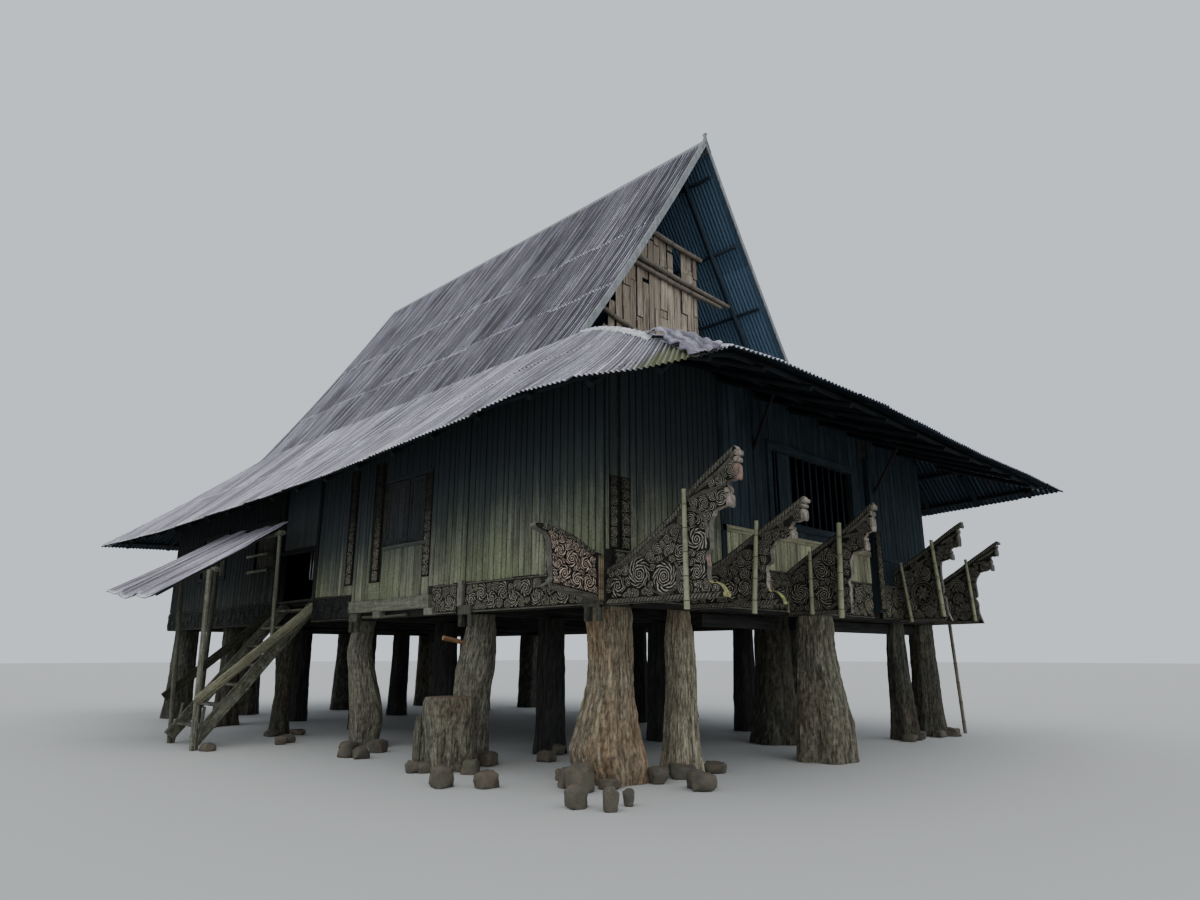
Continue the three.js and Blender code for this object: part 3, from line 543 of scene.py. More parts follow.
def sheet_rim(shape, upper, lower, facing_up, way, tone):
    """The edge that runs round a thin sheet."""
    rows, columns = upper.shape[:2]
    rim = np.concatenate([np.arange(columns), np.arange(1, rows) * columns + columns - 1,
                          (rows - 1) * columns + np.arange(columns - 2, -1, -1),
                          np.arange(rows - 2, 0, -1) * columns])
    edge = np.concatenate([upper.reshape(-1, 3)[rim], lower.reshape(-1, 3)[rim]])
    edge_way = None if way is None else np.tile(way.reshape(-1, 3)[rim], (2, 1))
    shape.add(edge, grid_faces(2, len(rim), closed=True, turned=facing_up), edge_way, tone)


UPWARD = (0.0, 0.0, 1.0)
REARWARD = (0.0, 1.0, 0.0)


def axes_for(along, up=UPWARD):
    """Unit vectors across a bar, level and square to that."""
    along = unit(along)
    if abs(np.dot(along, unit(up))) > 0.98:
        up = REARWARD
    across = unit(np.cross(along, up))
    return across, np.cross(across, along)


def bar(shape, start, end, width, depth, tone, up, steps, wander, ease, dice, kind=0):
    """Square-cut timber with eased edges. width lies across it, depth along up; it is cut into
    steps that wander off the straight line."""
    start, end = np.asarray(start, float), np.asarray(end, float)
    across, rise = axes_for(end - start, up)
    ease = min(ease, 0.3 * width, 0.3 * depth)
    w, d = width / 2, depth / 2
    section = np.array([(-w + ease, -d), (w - ease, -d), (w, -d + ease), (w, d - ease),
                        (w - ease, d), (-w + ease, d), (-w, d - ease), (-w, -d + ease)])
    length = np.linalg.norm(end - start)
    shift = dice.random() * 40.0
    points, way = [], []
    for k in range(steps + 1):
        t = k / steps
        centre = start + (end - start) * t
        if wander and 0 < k < steps:
            centre = centre + across * dice.uniform(-wander, wander)
            centre = centre + rise * dice.uniform(-wander, wander)
        for a, b in section:
            points.append(centre + across * a + rise * b)
            way.append((t * length + shift, a + shift, b))
    faces = grid_faces(steps + 1, 8, closed=True).tolist()
    last = steps * 8
    faces.append([7, 6, 5, 4, 3, 2, 1, 0])
    faces.append([last + i for i in range(8)])
    shape.add(points, faces, way, tone, kind)


def box(shape, low, high, tone, ease, dice, kind=0):
    """An upright or lying block between two corners; its grain runs along its longest side."""
    low, high = np.minimum(low, high), np.maximum(low, high)
    size = high - low
    middle = (low + high) / 2
    axis = int(np.argmax(size))
    offset = np.zeros(3)
    offset[axis] = size[axis] / 2
    up = REARWARD if axis == 2 else UPWARD
    across, _ = axes_for(offset, up)
    width = float(abs(np.dot(across, size)))
    depth = float(size.sum() - size[axis] - width)
    bar(shape, middle - offset, middle + offset, width, depth, tone, up, 1, 0.0, ease, dice, kind)


def rod(shape, path, radius, sides, tone, dice, joints=0.0, kind=0, rough=0.0):
    """Round timber or, with joints, a bamboo culm with a swollen ring at each joint. radius is
    one number, or a pair for the two ends."""
    path = np.asarray(path, float)
    far = lengths_along(path)
    stations = [(s, 1.0, tone) for s in np.linspace(0, far[-1], max(len(path), 2))]
    if joints:
        first = dice.random() * joints
        for s in np.arange(first, far[-1] - 0.03, joints):
            if s > 0.03:
                stations += [(s - 0.012, 1.0, tone), (s - 0.004, 1.10, 1.0), (s + 0.004, 1.10, 1.0),
                             (s + 0.012, 0.97, tone)]
    elif rough:
        stations += [(s, 1.0, tone) for s in np.arange(0.2, far[-1] - 0.1, 0.28)]
    stations.sort()
    shift = dice.random() * 30.0
    points, way, tones = [], [], []
    across, rise = axes_for(path[-1] - path[0])
    ends = (radius, radius) if np.isscalar(radius) else radius
    for s, swell, t in stations:
        centre = np.array([np.interp(s, far, path[:, i]) for i in range(3)])
        r = np.interp(s, [0, far[-1]], ends) * swell
        if rough:
            r *= 1 + dice.uniform(-rough, rough)
        for i in range(sides):
            angle = 2 * math.pi * i / sides
            a, b = r * math.cos(angle), r * math.sin(angle)
            points.append(centre + across * a + rise * b)
            way.append((s + shift, a + shift, b))
            tones.append(t)
    rings = len(stations)
    faces = grid_faces(rings, sides, closed=True).tolist()
    last = (rings - 1) * sides
    faces.append(list(range(sides))[::-1])
    faces.append([last + i for i in range(sides)])
    shape.add(points, faces, way, tones, kind)


def eased_curve(knots, values, at):
    """A smooth curve through the values at the knots."""
    knots, values = np.asarray(knots, float), np.asarray(values, float)
    slopes = np.gradient(values, knots)
    i = np.clip(np.searchsorted(knots, at) - 1, 0, len(knots) - 2)
    step = knots[i + 1] - knots[i]
    t = (at - knots[i]) / step
    return ((2 * t**3 - 3 * t**2 + 1) * values[i] + (t**3 - 2 * t**2 + t) * step * slopes[i]
            + (3 * t**2 - 2 * t**3) * values[i + 1] + (t**3 - t**2) * step * slopes[i + 1])


def trunk(shape, x, y, rings, seed, sides, levels, furrow, cap=0):
    """A post that is a trunk with furrowed bark: rings are (height, radius, shift X, shift Y) and
    cap is the material of its cut top."""
    rings = [tuple(ring) + (0.0,) * (4 - len(ring)) for ring in rings]
    knots = [ring[0] for ring in rings]
    heights = np.linspace(knots[0], knots[-1], levels)
    radius, dx, dy = (eased_curve(knots, [ring[k] for ring in rings], heights) for k in (1, 2, 3))
    points, way, tones = [], [], []
    for z, r0, sx, sy in zip(heights, radius, dx, dy):
        for i in range(sides):
            angle = 2 * math.pi * i / sides
            c, s = math.cos(angle), math.sin(angle)
            flare = max(0.0, 1 - z / 0.9)
            lobes = (0.03 + 0.07 * flare) * math.sin(5 * angle + seed)
            lobes += 0.03 * math.sin(3 * angle + 2 * seed)
            lean = 0.25 * z
            wide = noise.noise(Vector((2.6 * c + lean, 2.6 * s, 1.3 * z + 3.1 * seed)))
            ridge = abs(noise.noise(Vector((7.0 * c + lean, 7.0 * s + seed, 2.2 * z + seed))))
            fine = abs(noise.noise(Vector((15.0 * c + lean, 15.0 * s + lean, 6.0 * z + seed))))
            crack = abs(noise.noise(Vector((29.0 * c, 29.0 * s + lean, 11.0 * z - seed))))
            deep = furrow * (1.1 * wide - 1.1 * (0.35 - ridge) * (1 - ridge) - 0.8 * (0.3 - fine))
            deep -= 0.45 * furrow * (0.3 - crack)
            r = r0 * (1 + lobes) + deep
            points.append((x + sx + r * c, y + sy + r * s, z))
            way.append((z + 3 * seed, angle * 0.3, seed))
            tones.append(min(1.0, max(0.0, 0.5 + 0.7 * (ridge - 0.22) + 0.9 * (fine - 0.2)
                                      + 1.1 * (crack - 0.2))))
    faces = grid_faces(levels, sides, closed=True).tolist()
    last = (levels - 1) * sides
    shape.add(points, faces + [list(range(sides))[::-1]], way, tones)
    top = np.array(points[last:])
    centre = top.mean(axis=0)
    inner = centre + (top - centre) * 0.55
    rim = np.concatenate([top, inner, [centre]])
    lid = grid_faces(2, sides, closed=True).tolist()
    lid += [[sides + i, sides + (i + 1) % sides, 2 * sides] for i in range(sides)]
    shape.add(rim, lid, rim * [9, 9, 1], 0.6, cap)


# Carving
def edge_distance(points, outline):
    """How far each point lies inside the outline; negative outside."""
    points, outline = np.asarray(points, float), np.asarray(outline, float)
    nearest = np.full(len(points), 1e9)
    inside = np.zeros(len(points), bool)
    for a, b in zip(outline, np.roll(outline, -1, axis=0)):
        along = b - a
        t = np.clip(((points - a) @ along) / max(along @ along, 1e-12), 0, 1)
        nearest = np.minimum(nearest, np.linalg.norm(points - (a + t[:, None] * along), axis=1))
        crosses = (a[1] > points[:, 1]) != (b[1] > points[:, 1])
        with np.errstate(divide="ignore", invalid="ignore"):
            at = a[0] + (points[:, 1] - a[1]) * along[0] / along[1]
        inside ^= crosses & (points[:, 0] < at)
    return np.where(inside, nearest, -nearest)


CIRCLE_GAP = 0.003


def packed_circles(outline, radii, dice, margin, first, darts, blocked):
    """Fills an outline with circles, the largest first. Blocked circles only keep room."""
    circles = [tuple(c) for c in first]
    taken = np.array(list(blocked) + circles, float).reshape(-1, 3)
    low, high = np.min(outline, axis=0), np.max(outline, axis=0)
    for cap, floor in zip(radii, radii[1:]):
        spots = np.array([[dice.uniform(low[0], high[0]), dice.uniform(low[1], high[1])]
                          for _ in range(darts)])
        room = edge_distance(spots, outline) - margin
        for spot, space in zip(spots[room > floor], room[room > floor]):
            if len(taken):
                away = np.hypot(taken[:, 0] - spot[0], taken[:, 1] - spot[1]) - taken[:, 2]
                space = min(space, float(away.min()) - CIRCLE_GAP)
            if space > floor:
                circle = (float(spot[0]), float(spot[1]), min(cap, float(space)))
                circles.append(circle)
                taken = np.vstack([taken, circle])
    return circles


class Panel:
    """A carved plane: (u, v) on it and a height above it become a point in the hall."""

    def __init__(self, origin, along, up, out):
        self.origin = np.asarray(origin, float)
        self.along = np.asarray(along, float)
        self.up = np.asarray(up, float)
        self.out = np.asarray(out, float)
        self.mirrored = np.dot(np.cross(self.along, self.up), self.out) < 0

    def place(self, u, v, h):
        u, v, h = (np.asarray(k, float)[..., None] for k in (u, v, h))
        return self.origin + u * self.along + v * self.up + h * self.out

    def raised(self, height):
        return Panel(self.origin + height * self.out, self.along, self.up, self.out)


def left_panel(x, y, z):
    """A panel that faces left, with u towards the rear."""
    return Panel((x, y, z), (0, 1, 0), (0, 0, 1), (-1, 0, 0))


def front_panel(x, y, z):
    """A panel that faces the front, with u to the right."""
    return Panel((x, y, z), (1, 0, 0), (0, 0, 1), (0, -1, 0))


def ribbon(shape, panel, path, width, height, tone, kind):
    """A carved stem with two grooves along it."""
    path = np.asarray(path, float)
    count = len(path)
    slope = np.gradient(path, axis=0)
    slope /= np.maximum(np.linalg.norm(slope, axis=1), 1e-9)[:, None]
    side = np.stack([-slope[:, 1], slope[:, 0]], axis=1)
    width = np.broadcast_to(width, (count,))
    section = [(-0.5, -0.004), (-0.36, 0.9), (-0.16, 0.5), (0.0, 1.0), (0.16, 0.5), (0.36, 0.9),
               (0.5, -0.004)]
    points, way, tones = [], [], []
    far = lengths_along(path)
    for k in range(count):
        for across, rise in section:
            spot = path[k] + side[k] * width[k] * across
            h = height * rise if rise > 0 else rise
            points.append(panel.place(spot[0], spot[1], h))
            way.append((far[k], across * width[k] + spot[0], spot[1]))
            # Painted highlight on the raised tops and painted shade in the grooves
            tones.append(tone + (0.30 if rise > 0.8 else -0.45))
    faces = grid_faces(count, 7, turned=not panel.mirrored)
    shape.add(np.array(points), faces, way, np.clip(tones, 0, 1), kind)


def knob(shape, panel, u, v, radius, height, tone, kind=0):
    """A small round boss or nail head."""
    sides = 7
    ring = [(u + radius * math.cos(2 * math.pi * i / sides), v + radius * math.sin(
        2 * math.pi * i / sides)) for i in range(sides)]
    points = [panel.place(a, b, -0.002) for a, b in ring]
    points += [panel.place(u + 0.6 * (a - u), v + 0.6 * (b - v), height * 0.85) for a, b in ring]
    points.append(panel.place(u, v, height))
    faces = grid_faces(2, sides, closed=True, turned=panel.mirrored).tolist()
    for i in range(sides):
        tip = [sides + i, sides + (i + 1) % sides, 2 * sides]
        faces.append(tip[::-1] if panel.mirrored else tip)
    shape.add(np.array(points), faces, None, tone, kind)


def reach(centre, directions, fences):
    """How far a line from the centre runs in each direction before it meets a fence."""
    edge = fences[:, 1] - fences[:, 0]
    gap = fences[:, 0] - centre
    across = directions[:, :1] * edge[:, 1] - directions[:, 1:] * edge[:, 0]
    with np.errstate(divide="ignore", invalid="ignore"):
        far = (gap[:, 0] * edge[:, 1] - gap[:, 1] * edge[:, 0]) / across
        at = (gap[:, 0] * directions[:, 1:] - gap[:, 1] * directions[:, :1]) / across
    met = (far > 1e-6) & (at > -1e-6) & (at < 1 + 1e-6)
    return np.where(met, far, 9.0).min(axis=1)


def fence(line, closed=False):
    """A line as a row of (start, end) pieces."""
    line = np.asarray(line, float)
    ends = np.roll(line, -1, axis=0)
    pieces = np.stack([line, ends], axis=1)
    return pieces if closed else pieces[:-1]


SCROLL_RINGS = (0.015, 0.22, 0.42, 0.56, 0.66, 0.78, 0.90, 1.0)
SCROLL_SHAPE = ((0, 0.12, 0.50, 0.68, 0.76, 0.90, 1.3), (1.0, 0.80, 0.95, 0.50, 0.40, 0.95, 0.55))


def scroll(shape, panel, circle, limit, turn, hand, height, kind):
    """One carved scroll that fills its share of the ground, out to the limit each way."""
    u, v, radius = circle
    pitch = min(0.030, max(0.015, 0.28 * radius))
    strands = max(3, round(2 * math.pi * radius / 0.095))
    ring = np.array(SCROLL_RINGS)[:, None]
    far = ring * limit
    share = far / radius
    high = height * (0.8 + min(radius, 0.12) * 3) * np.interp(share, *SCROLL_SHAPE)
    high[-1] = -0.003
    points = panel.place(u + far * np.cos(turn), v + far * np.sin(turn), high)
    winding = 2 * math.pi * far / pitch + hand * turn
    flowing = hand * strands * turn + 2 * math.pi * far / (1.2 * pitch)
    way = np.stack([winding, flowing, np.broadcast_to(ring, far.shape)], axis=-1)
    faces = grid_faces(len(SCROLL_RINGS), len(turn), turned=panel.mirrored)
    shape.add(points, faces, way, share, kind)


def rope(shape, panel, path, width, height, step, kind):
    """A border of slanted nicks, like laid rope, along a path on the panel."""
    path = np.asarray(path, float)
    far = lengths_along(path)
    for s in np.arange(step / 2, far[-1], step):
        centre = np.array([np.interp(s, far, path[:, k]) for k in (0, 1)])
        ahead = np.array([np.interp(min(s + 0.01, far[-1]), far, path[:, k]) for k in (0, 1)])
        behind = np.array([np.interp(max(s - 0.01, 0), far, path[:, k]) for k in (0, 1)])
        along = unit(ahead - behind)
        side = np.array([-along[1], along[0]])
        lean = along * width * 0.45
        corners = []
        for a, b in ((-1, -1), (1, -1), (1, 1), (-1, 1)):
            corners.append(centre + along * a * step * 0.31 + side * b * width / 2 + lean * b)
        points = [panel.place(p[0], p[1], -0.003) for p in corners]
        tops = [centre + (p - centre) * 0.72 for p in corners]
        points += [panel.place(p[0], p[1], height) for p in tops]
        faces = [[4, 5, 6, 7], [0, 1, 5, 4], [1, 2, 6, 5], [2, 3, 7, 6], [3, 0, 4, 7]]
        if panel.mirrored:
            faces = [face[::-1] for face in faces]
        shape.add(np.array(points), faces, None, 0.52, kind)


def rounded(outline, keep=(), kinds=None):
    """Cuts the corners of a closed outline, except at the points to keep. Gives the new points
    and the kind of each."""
    fresh, fresh_kinds = [], []
    for i, p in enumerate(outline):
        p, before, after = (np.asarray(q, float) for q in (
            p, outline[i - 1], outline[(i + 1) % len(outline)]))
        spots = [p] if i in keep else [p + 0.25 * (before - p), p + 0.25 * (after - p)]
        fresh += spots
        fresh_kinds += [kinds[i] if kinds else 0] * len(spots)
    return np.array(fresh), fresh_kinds


LOBE_LENGTH = 0.062
LOBE_DEPTH = 0.007
LOBE_STEP = 0.010


def scalloped(outline, kinds, wanted):
    """Cuts small round lobes along the wanted parts of an outline."""
    fresh, fresh_kinds = [], []
    run = 0.0
    for i, kind in enumerate(kinds):
        start, end = outline[i], outline[(i + 1) % len(outline)]
        length = float(np.linalg.norm(end - start))
        if kind not in wanted:
            fresh.append(start)
            fresh_kinds.append(kind)
            continue
        out = np.array([end[1] - start[1], start[0] - end[0]]) / length
        pieces = max(1, int(round(length / LOBE_STEP)))
        for k in range(pieces):
            swell = abs(math.sin(math.pi * (run + length * k / pieces) / LOBE_LENGTH)) - 0.6
            fresh.append(start + (end - start) * k / pieces + out * LOBE_DEPTH * swell)
            fresh_kinds.append(kind)
        run += length
    return np.array(fresh), fresh_kinds


def runs_left(outline):
    """Whether a closed outline turns to the left."""
    after = np.roll(outline, -1, axis=0)
    return np.sum(outline[:, 0] * after[:, 1] - after[:, 0] * outline[:, 1]) > 0


def inset(outline, amount):
    """The outline drawn in by an amount."""
    outline = np.asarray(outline, float)
    before = outline - np.roll(outline, 1, axis=0)
    after = np.roll(outline, -1, axis=0) - outline
    tangent = before / np.linalg.norm(before, axis=1)[:, None]
    tangent = tangent + after / np.linalg.norm(after, axis=1)[:, None]
    tangent /= np.maximum(np.linalg.norm(tangent, axis=1), 1e-6)[:, None]
    inward = np.stack([-tangent[:, 1], tangent[:, 0]], axis=1) * (1 if runs_left(outline) else -1)
    return outline + inward * amount


def plate(shape, panel, outline, thick, ease, face_kind=0, edge_kind=0):
    """A board cut to an outline, its middle on the panel, with eased edges."""
    inner = inset(outline, ease)
    count = len(outline)
    half = thick / 2
    rings = [(inner, -half), (outline, -half + ease), (outline, half - ease), (inner, half)]
    points = np.concatenate([panel.place(ring[:, 0], ring[:, 1], np.full(count, h))
                             for ring, h in rings])
    way = np.concatenate([np.stack([ring[:, 0], ring[:, 1], np.full(count, h)], axis=1)
                          for ring, h in rings])
    triangles = tessellate_polygon([[Vector((p[0], p[1], 0)) for p in inner]])
    normal_up = sum((inner[b][0] - inner[a][0]) * (inner[c][1] - inner[a][1])
                    - (inner[c][0] - inner[a][0]) * (inner[b][1] - inner[a][1])
                    for a, b, c in triangles) > 0
    turn = normal_up == panel.mirrored
    front = [(c, b, a) if turn else (a, b, c) for a, b, c in triangles]
    turned = runs_left(outline) == panel.mirrored
    sides = grid_faces(4, count, closed=True, turned=turned).tolist()
    start = 3 * count
    faces = [[start + i for i in face] for face in front] + [list(face[::-1]) for face in front]
    shape.add(points, faces, way, 0.5, face_kind)
    shape.add(points, sides, way, 0.5, edge_kind if np.isscalar(edge_kind) else edge_kind * 3)


def carve(shape, panel, outline, dice, radii, height, margin, first, kind, darts, blocked=(),
          fences=()):
    """Scrollwork that shares out the whole outline between scrolls of falling size. Each turns
    against the one that it touches."""
    circles = packed_circles(outline, radii, dice, margin, first, darts, blocked)
    table = np.array(circles)
    walls = np.concatenate([fence(inset(outline, 0.004), True)] + list(fences))
    hands = []
    for i, (u, v, radius) in enumerate(circles):
        near = [(math.hypot(u - a, v - b) - r, j) for j, (a, b, r) in enumerate(circles[:i])
                if r > 0.030]
        hands.append(-hands[min(near)[1]] if near else dice.choice((-1, 1)))
        spokes = 16 if radius < 0.036 else 24 if radius < 0.075 else 36
        turn = np.linspace(0, 2 * math.pi, spokes + 1) + dice.uniform(0, 2 * math.pi)
        directions = np.stack([np.cos(turn), np.sin(turn)], axis=1)
        limit = np.minimum(reach(np.array([u, v]), directions, walls), 2.1 * radius)
        away = table[:, :2] - (u, v)
        power = (away ** 2).sum(axis=1) + radius ** 2 - table[:, 2] ** 2
        toward = directions @ away.T
        bound = np.where(toward > 1e-6, power / np.maximum(2 * toward, 1e-6), 9.0).min(axis=1)
        scroll(shape, panel, circles[i], np.minimum(limit, bound), turn, hands[i], height, kind)


def chain(length, radius, wave):
    """Circles in a row up a strip or along a beam, swaying from side to side."""
    count = max(1, int(length / (2 * radius + 0.004)))
    step = length / count
    return [(wave * (1 if k % 2 else -1), (k + 0.5) * step, radius) for k in range(count)]


RADII = (0.11, 0.085, 0.068, 0.055, 0.045, 0.037, 0.030, 0.024, 0.019)
SMALL_RADII = (0.045, 0.037, 0.030, 0.024, 0.019, 0.015)


# Roof surface, the same as in the part's source
RIDGE_HALF = 5.4
VERGE = 5.42
BREAK_HALF = 3.2
BREAK_HEIGHT = 5.82
EAVE_X = 5.43
EAVE_Y = 9.15
LEFT_EAVE = [(-9.15, 3.79, -0.15), (-8.5, 3.84, -0.10), (-7.5, 4.01, -0.03), (-6.8, 4.05, 0.0),
             (-5.85, 3.985, 0.03), (-4.35, 3.92, 0.06), (-2.45, 3.835, 0.06), (0.2, 3.79, 0.06),
             (4.9, 3.78, 0.06), (9.15, 3.89, 0.06)]
FRONT_EAVE = [(-5.43, 3.79, -0.15), (-4.85, 4.08, -0.08), (-4.0, 4.16, -0.02), (-1.7, 4.23, 0.06),
              (1.4, 4.19, 0.06), (3.6, 4.23, 0.06), (5.43, 4.21, 0.06)]
RIGHT_EAVE = [(-9.15, 4.21, 0.06), (-6.5, 4.08, 0.06), (-2.0, 3.90, 0.06), (4.0, 3.85, 0.06),
              (9.15, 3.89, 0.06)]
REAR_EAVE = [(-5.43, 3.89, 0.06), (-2.5, 4.0, 0.06), (2.5, 4.0, 0.06), (5.43, 3.89, 0.06)]
SLOPE = [(0.0, 10.65), (1.0, 9.06), (2.1, 7.39), (3.2, 5.82), (3.4, 5.64)]


def matched(s, a):
    """Both values as arrays of one shape."""
    return np.broadcast_arrays(np.asarray(s, float), np.asarray(a, float))


class Skirt:
    """One lower roof face. s runs 0 at the break to 1 at the eave, a along the eave."""

    def __init__(self, eave, side, long_side):
        self.eave = np.array(eave)
        self.side = side
        self.long_side = long_side
        if long_side:
            self.near, self.far, self.half_near, self.half_far = (
                BREAK_HALF, EAVE_X, RIDGE_HALF, EAVE_Y)
        else:
            self.near, self.far, self.half_near, self.half_far = (
                RIDGE_HALF, EAVE_Y, BREAK_HALF, EAVE_X)

    def place(self, s, a):
        s, a = matched(s, a)
        t = a / (self.half_near + (self.half_far - self.half_near) * s)
        at = np.clip(t, -1, 1) * self.half_far
        low = np.interp(at, self.eave[:, 0], self.eave[:, 1])
        sag = np.interp(at, self.eave[:, 0], self.eave[:, 2])
        z = BREAK_HEIGHT + (low - BREAK_HEIGHT) * s - 4 * sag * s * (1 - s)
        out = self.side * (self.near + (self.far - self.near) * s)
        return np.stack([out, a, z] if self.long_side else [a, out, z], axis=-1)

    def hip(self, a):
        """The s at which a line across the skirt at a meets the hip."""
        return np.clip((np.abs(a) - self.half_near) / (self.half_far - self.half_near), 0, 1)


skirts = {
    "left": Skirt(LEFT_EAVE, -1, True),
    "right": Skirt(RIGHT_EAVE, 1, True),
    "front": Skirt(FRONT_EAVE, -1, False),
    "rear": Skirt(REAR_EAVE, 1, False),
}


def roof_under(x, y):
    """Height of the lowest roof skin over a point of the hall's walls."""
    heights = []
    for skirt in skirts.values():
        out, a = (x, y) if skirt.long_side else (y, x)
        s = (skirt.side * out - skirt.near) / (skirt.far - skirt.near)
        if s > 0:
            heights.append(float(skirt.place(s, a)[2]))
    return min(heights) if heights else BREAK_HEIGHT


def normals_of(grid):
    """The upward normals of a grid of points."""
    down = np.gradient(grid, axis=0)
    over = np.gradient(grid, axis=1)
    normal = np.cross(over, down)
    normal /= np.maximum(np.linalg.norm(normal, axis=2), 1e-9)[..., None]
    return np.where(normal[..., 2:3] < 0, -normal, normal)


WAVE = 0.012
POINTS_PER_WAVE = 6
SHEET_WAVES = 10
SHEET_THICK = 0.003


def course(shape, place, a_from, a_to, top_of, low_of, rows, dice, lift, shift=None, ragged=0.02,
           tone=0.5, patch=0.16):
    """One row of corrugated sheets. top_of and low_of give s for each a; each sheet has its
    own tone, height and cut."""
    waves = max(1, int(round((a_to - a_from) / PITCH_IRON)))
    count = waves * POINTS_PER_WAVE + 1
    a = np.linspace(a_from, a_to, count)
    phase = 2 * math.pi * np.arange(count) / POINTS_PER_WAVE
    number = (np.arange(count) // POINTS_PER_WAVE) // SHEET_WAVES
    cuts = [dice.uniform(-ragged, ragged) for _ in range(waves // SHEET_WAVES + 2)]
    tones = [tone + dice.uniform(-patch, patch) for _ in cuts]
    rises = [dice.uniform(0, 0.004) for _ in cuts]
    cut, sheet_tone, rise = (np.array(values)[number] for values in (cuts, tones, rises))
    top = np.array([top_of(v) for v in a])
    low = np.array([low_of(v) for v in a]) + cut
    keep = low - top > 0.015
    a, phase, top, low, sheet_tone, rise, number = (
        v[keep] for v in (a, phase, top, low, sheet_tone, rise, number))
    count = len(a)
    t = np.append(np.linspace(0, 0.968, rows - 2), [0.982, 1.0])[:, None]
    s = top + (low - top) * t
    across = a[None, :] + (shift(a[None, :], s) if shift else 0.0 * s)
    base = place(s, across)
    normal = normals_of(base)
    height = WAVE * np.cos(phase) + lift + rise
    upper = base + normal * height[None, :, None]
    lower = upper - normal * SHEET_THICK
    down = np.concatenate([np.zeros((1, count)), np.cumsum(np.linalg.norm(
        np.diff(base, axis=0), axis=2), axis=0)])
    wave_place = np.broadcast_to(phase / (2 * math.pi) * PITCH_IRON, down.shape)
    way = np.stack([wave_place, down, np.broadcast_to(number * 1.7, down.shape)], axis=-1)
    # Painted highlight where the edge of a sheet laps over the next one: at its side and along its
    # lower edge
    side_lap_highlight = np.arange(len(keep))[keep] % (SHEET_WAVES * POINTS_PER_WAVE) < 3
    shades = np.clip(sheet_tone + 0.30 * side_lap_highlight, 0, 0.85) + 0.5 * (t > 0.98)
    shades = np.clip(shades, 0, 1)
    first = base[0, 0]
    facing_up = np.cross(base[0, 1] - first, base[1, 0] - first)[2] > 0
    sheet_faces(shape, upper, lower, facing_up, way, (shades, shades), 1)
    sheet_rim(shape, upper, lower, facing_up, way, 0.6)


def slope_place(side):
    """Gives the function that places s, the way out from the ridge, and a on a steep slope."""
    outs, heights = zip(*SLOPE)

    def place(s, a):
        s, a = matched(s, a)
        return np.stack([side * s, a, np.interp(s, outs, heights)], axis=-1)

    return place


# Each steep slope has three courses; the upper one laps over the one below
SLOPE_COURSES = [(0.05, 1.44, 0.020), (1.30, 2.46, 0.011), (2.32, 3.27, 0.006)]
for name, side in (("left", -1), ("right", 1)):
    dice = random.Random("slope " + name)
    shape = Shape()
    for top, low, lift in SLOPE_COURSES:
        course(shape, slope_place(side), -VERGE, VERGE, lambda a, v=top: v, lambda a, v=low: v,
               6, dice, lift, ragged=0.030)
    # Nail heads in rows above each lap and at the ridge
    place = slope_place(side)
    for out in (0.28, 1.36, 2.38, 3.12):
        for k in range(70):
            a = -5.3 + k * 2 * PITCH_IRON
            spot = place(out, a)
            knob(shape, Panel(spot + [side * 0.010, 0, 0.020], (0, 1, 0), (side * 0.55, 0, -0.83),
                              (side * 0.83, 0, 0.55)), 0, 0, 0.011, 0.007, 0.35)
    under = iron_blue if name == "right" else iron_underside_in_shade
    piece("roof_slope_" + name, shape, [iron_roof, under], ["upper_slope_" + name],
          80)


FAN = ([6.6, 8.2, 9.1], [0.0, 0.18, 0.62])


def fan(a, s):
    """Near the front left corner the sheets of the left skirt spread out towards the eave."""
    return np.interp(-a, *FAN) * (1 - s) * (EAVE_X - BREAK_HALF)


def fanned_hip(a):
    """The s at which a line across the fanned sheets meets the near hip."""
    if -a <= RIDGE_HALF:
        return 0.0
    spread = np.interp(-a, *FAN) * (EAVE_X - BREAK_HALF)
    return float(np.clip((-a - RIDGE_HALF - spread) / (EAVE_Y - RIDGE_HALF - spread), 0, 1))


def left_top(a):
    """The s at which the sheets of the left skirt begin."""
    return fanned_hip(a) if a < 0 else float(skirts["left"].hip(a))


def left_eave(a):
    """Sheets of unlike length make the steps in the left eave."""
    steps = [(-9.2, 0.985), (-7.51, 0.955), (-7.50, 1.0), (-6.88, 0.99), (-6.87, 0.985),
             (-5.93, 0.975), (-5.92, 1.0), (-3.62, 0.985), (-3.60, 1.005), (-3.50, 1.01),
             (-3.49, 0.99), (-1.0, 0.975), (-0.99, 0.99), (-0.16, 0.985), (-0.15, 0.97),
             (0.45, 0.965), (0.46, 0.985), (2.30, 0.975), (2.31, 0.99), (9.2, 0.985)]
    return float(np.interp(a, *zip(*steps)))


def apron_place(side):
    """The sheets of a short skirt run on under the gable, rising a little."""
    def place(s, a):
        s, a = matched(s, a)
        y = side * (RIDGE_HALF + 0.10 - 0.62 * (1 - s))
        z = BREAK_HEIGHT - 0.01 + (RIDGE_HALF + 0.10 - np.abs(y)) * 0.42
        return np.stack([a, y, z], axis=-1)

    return place


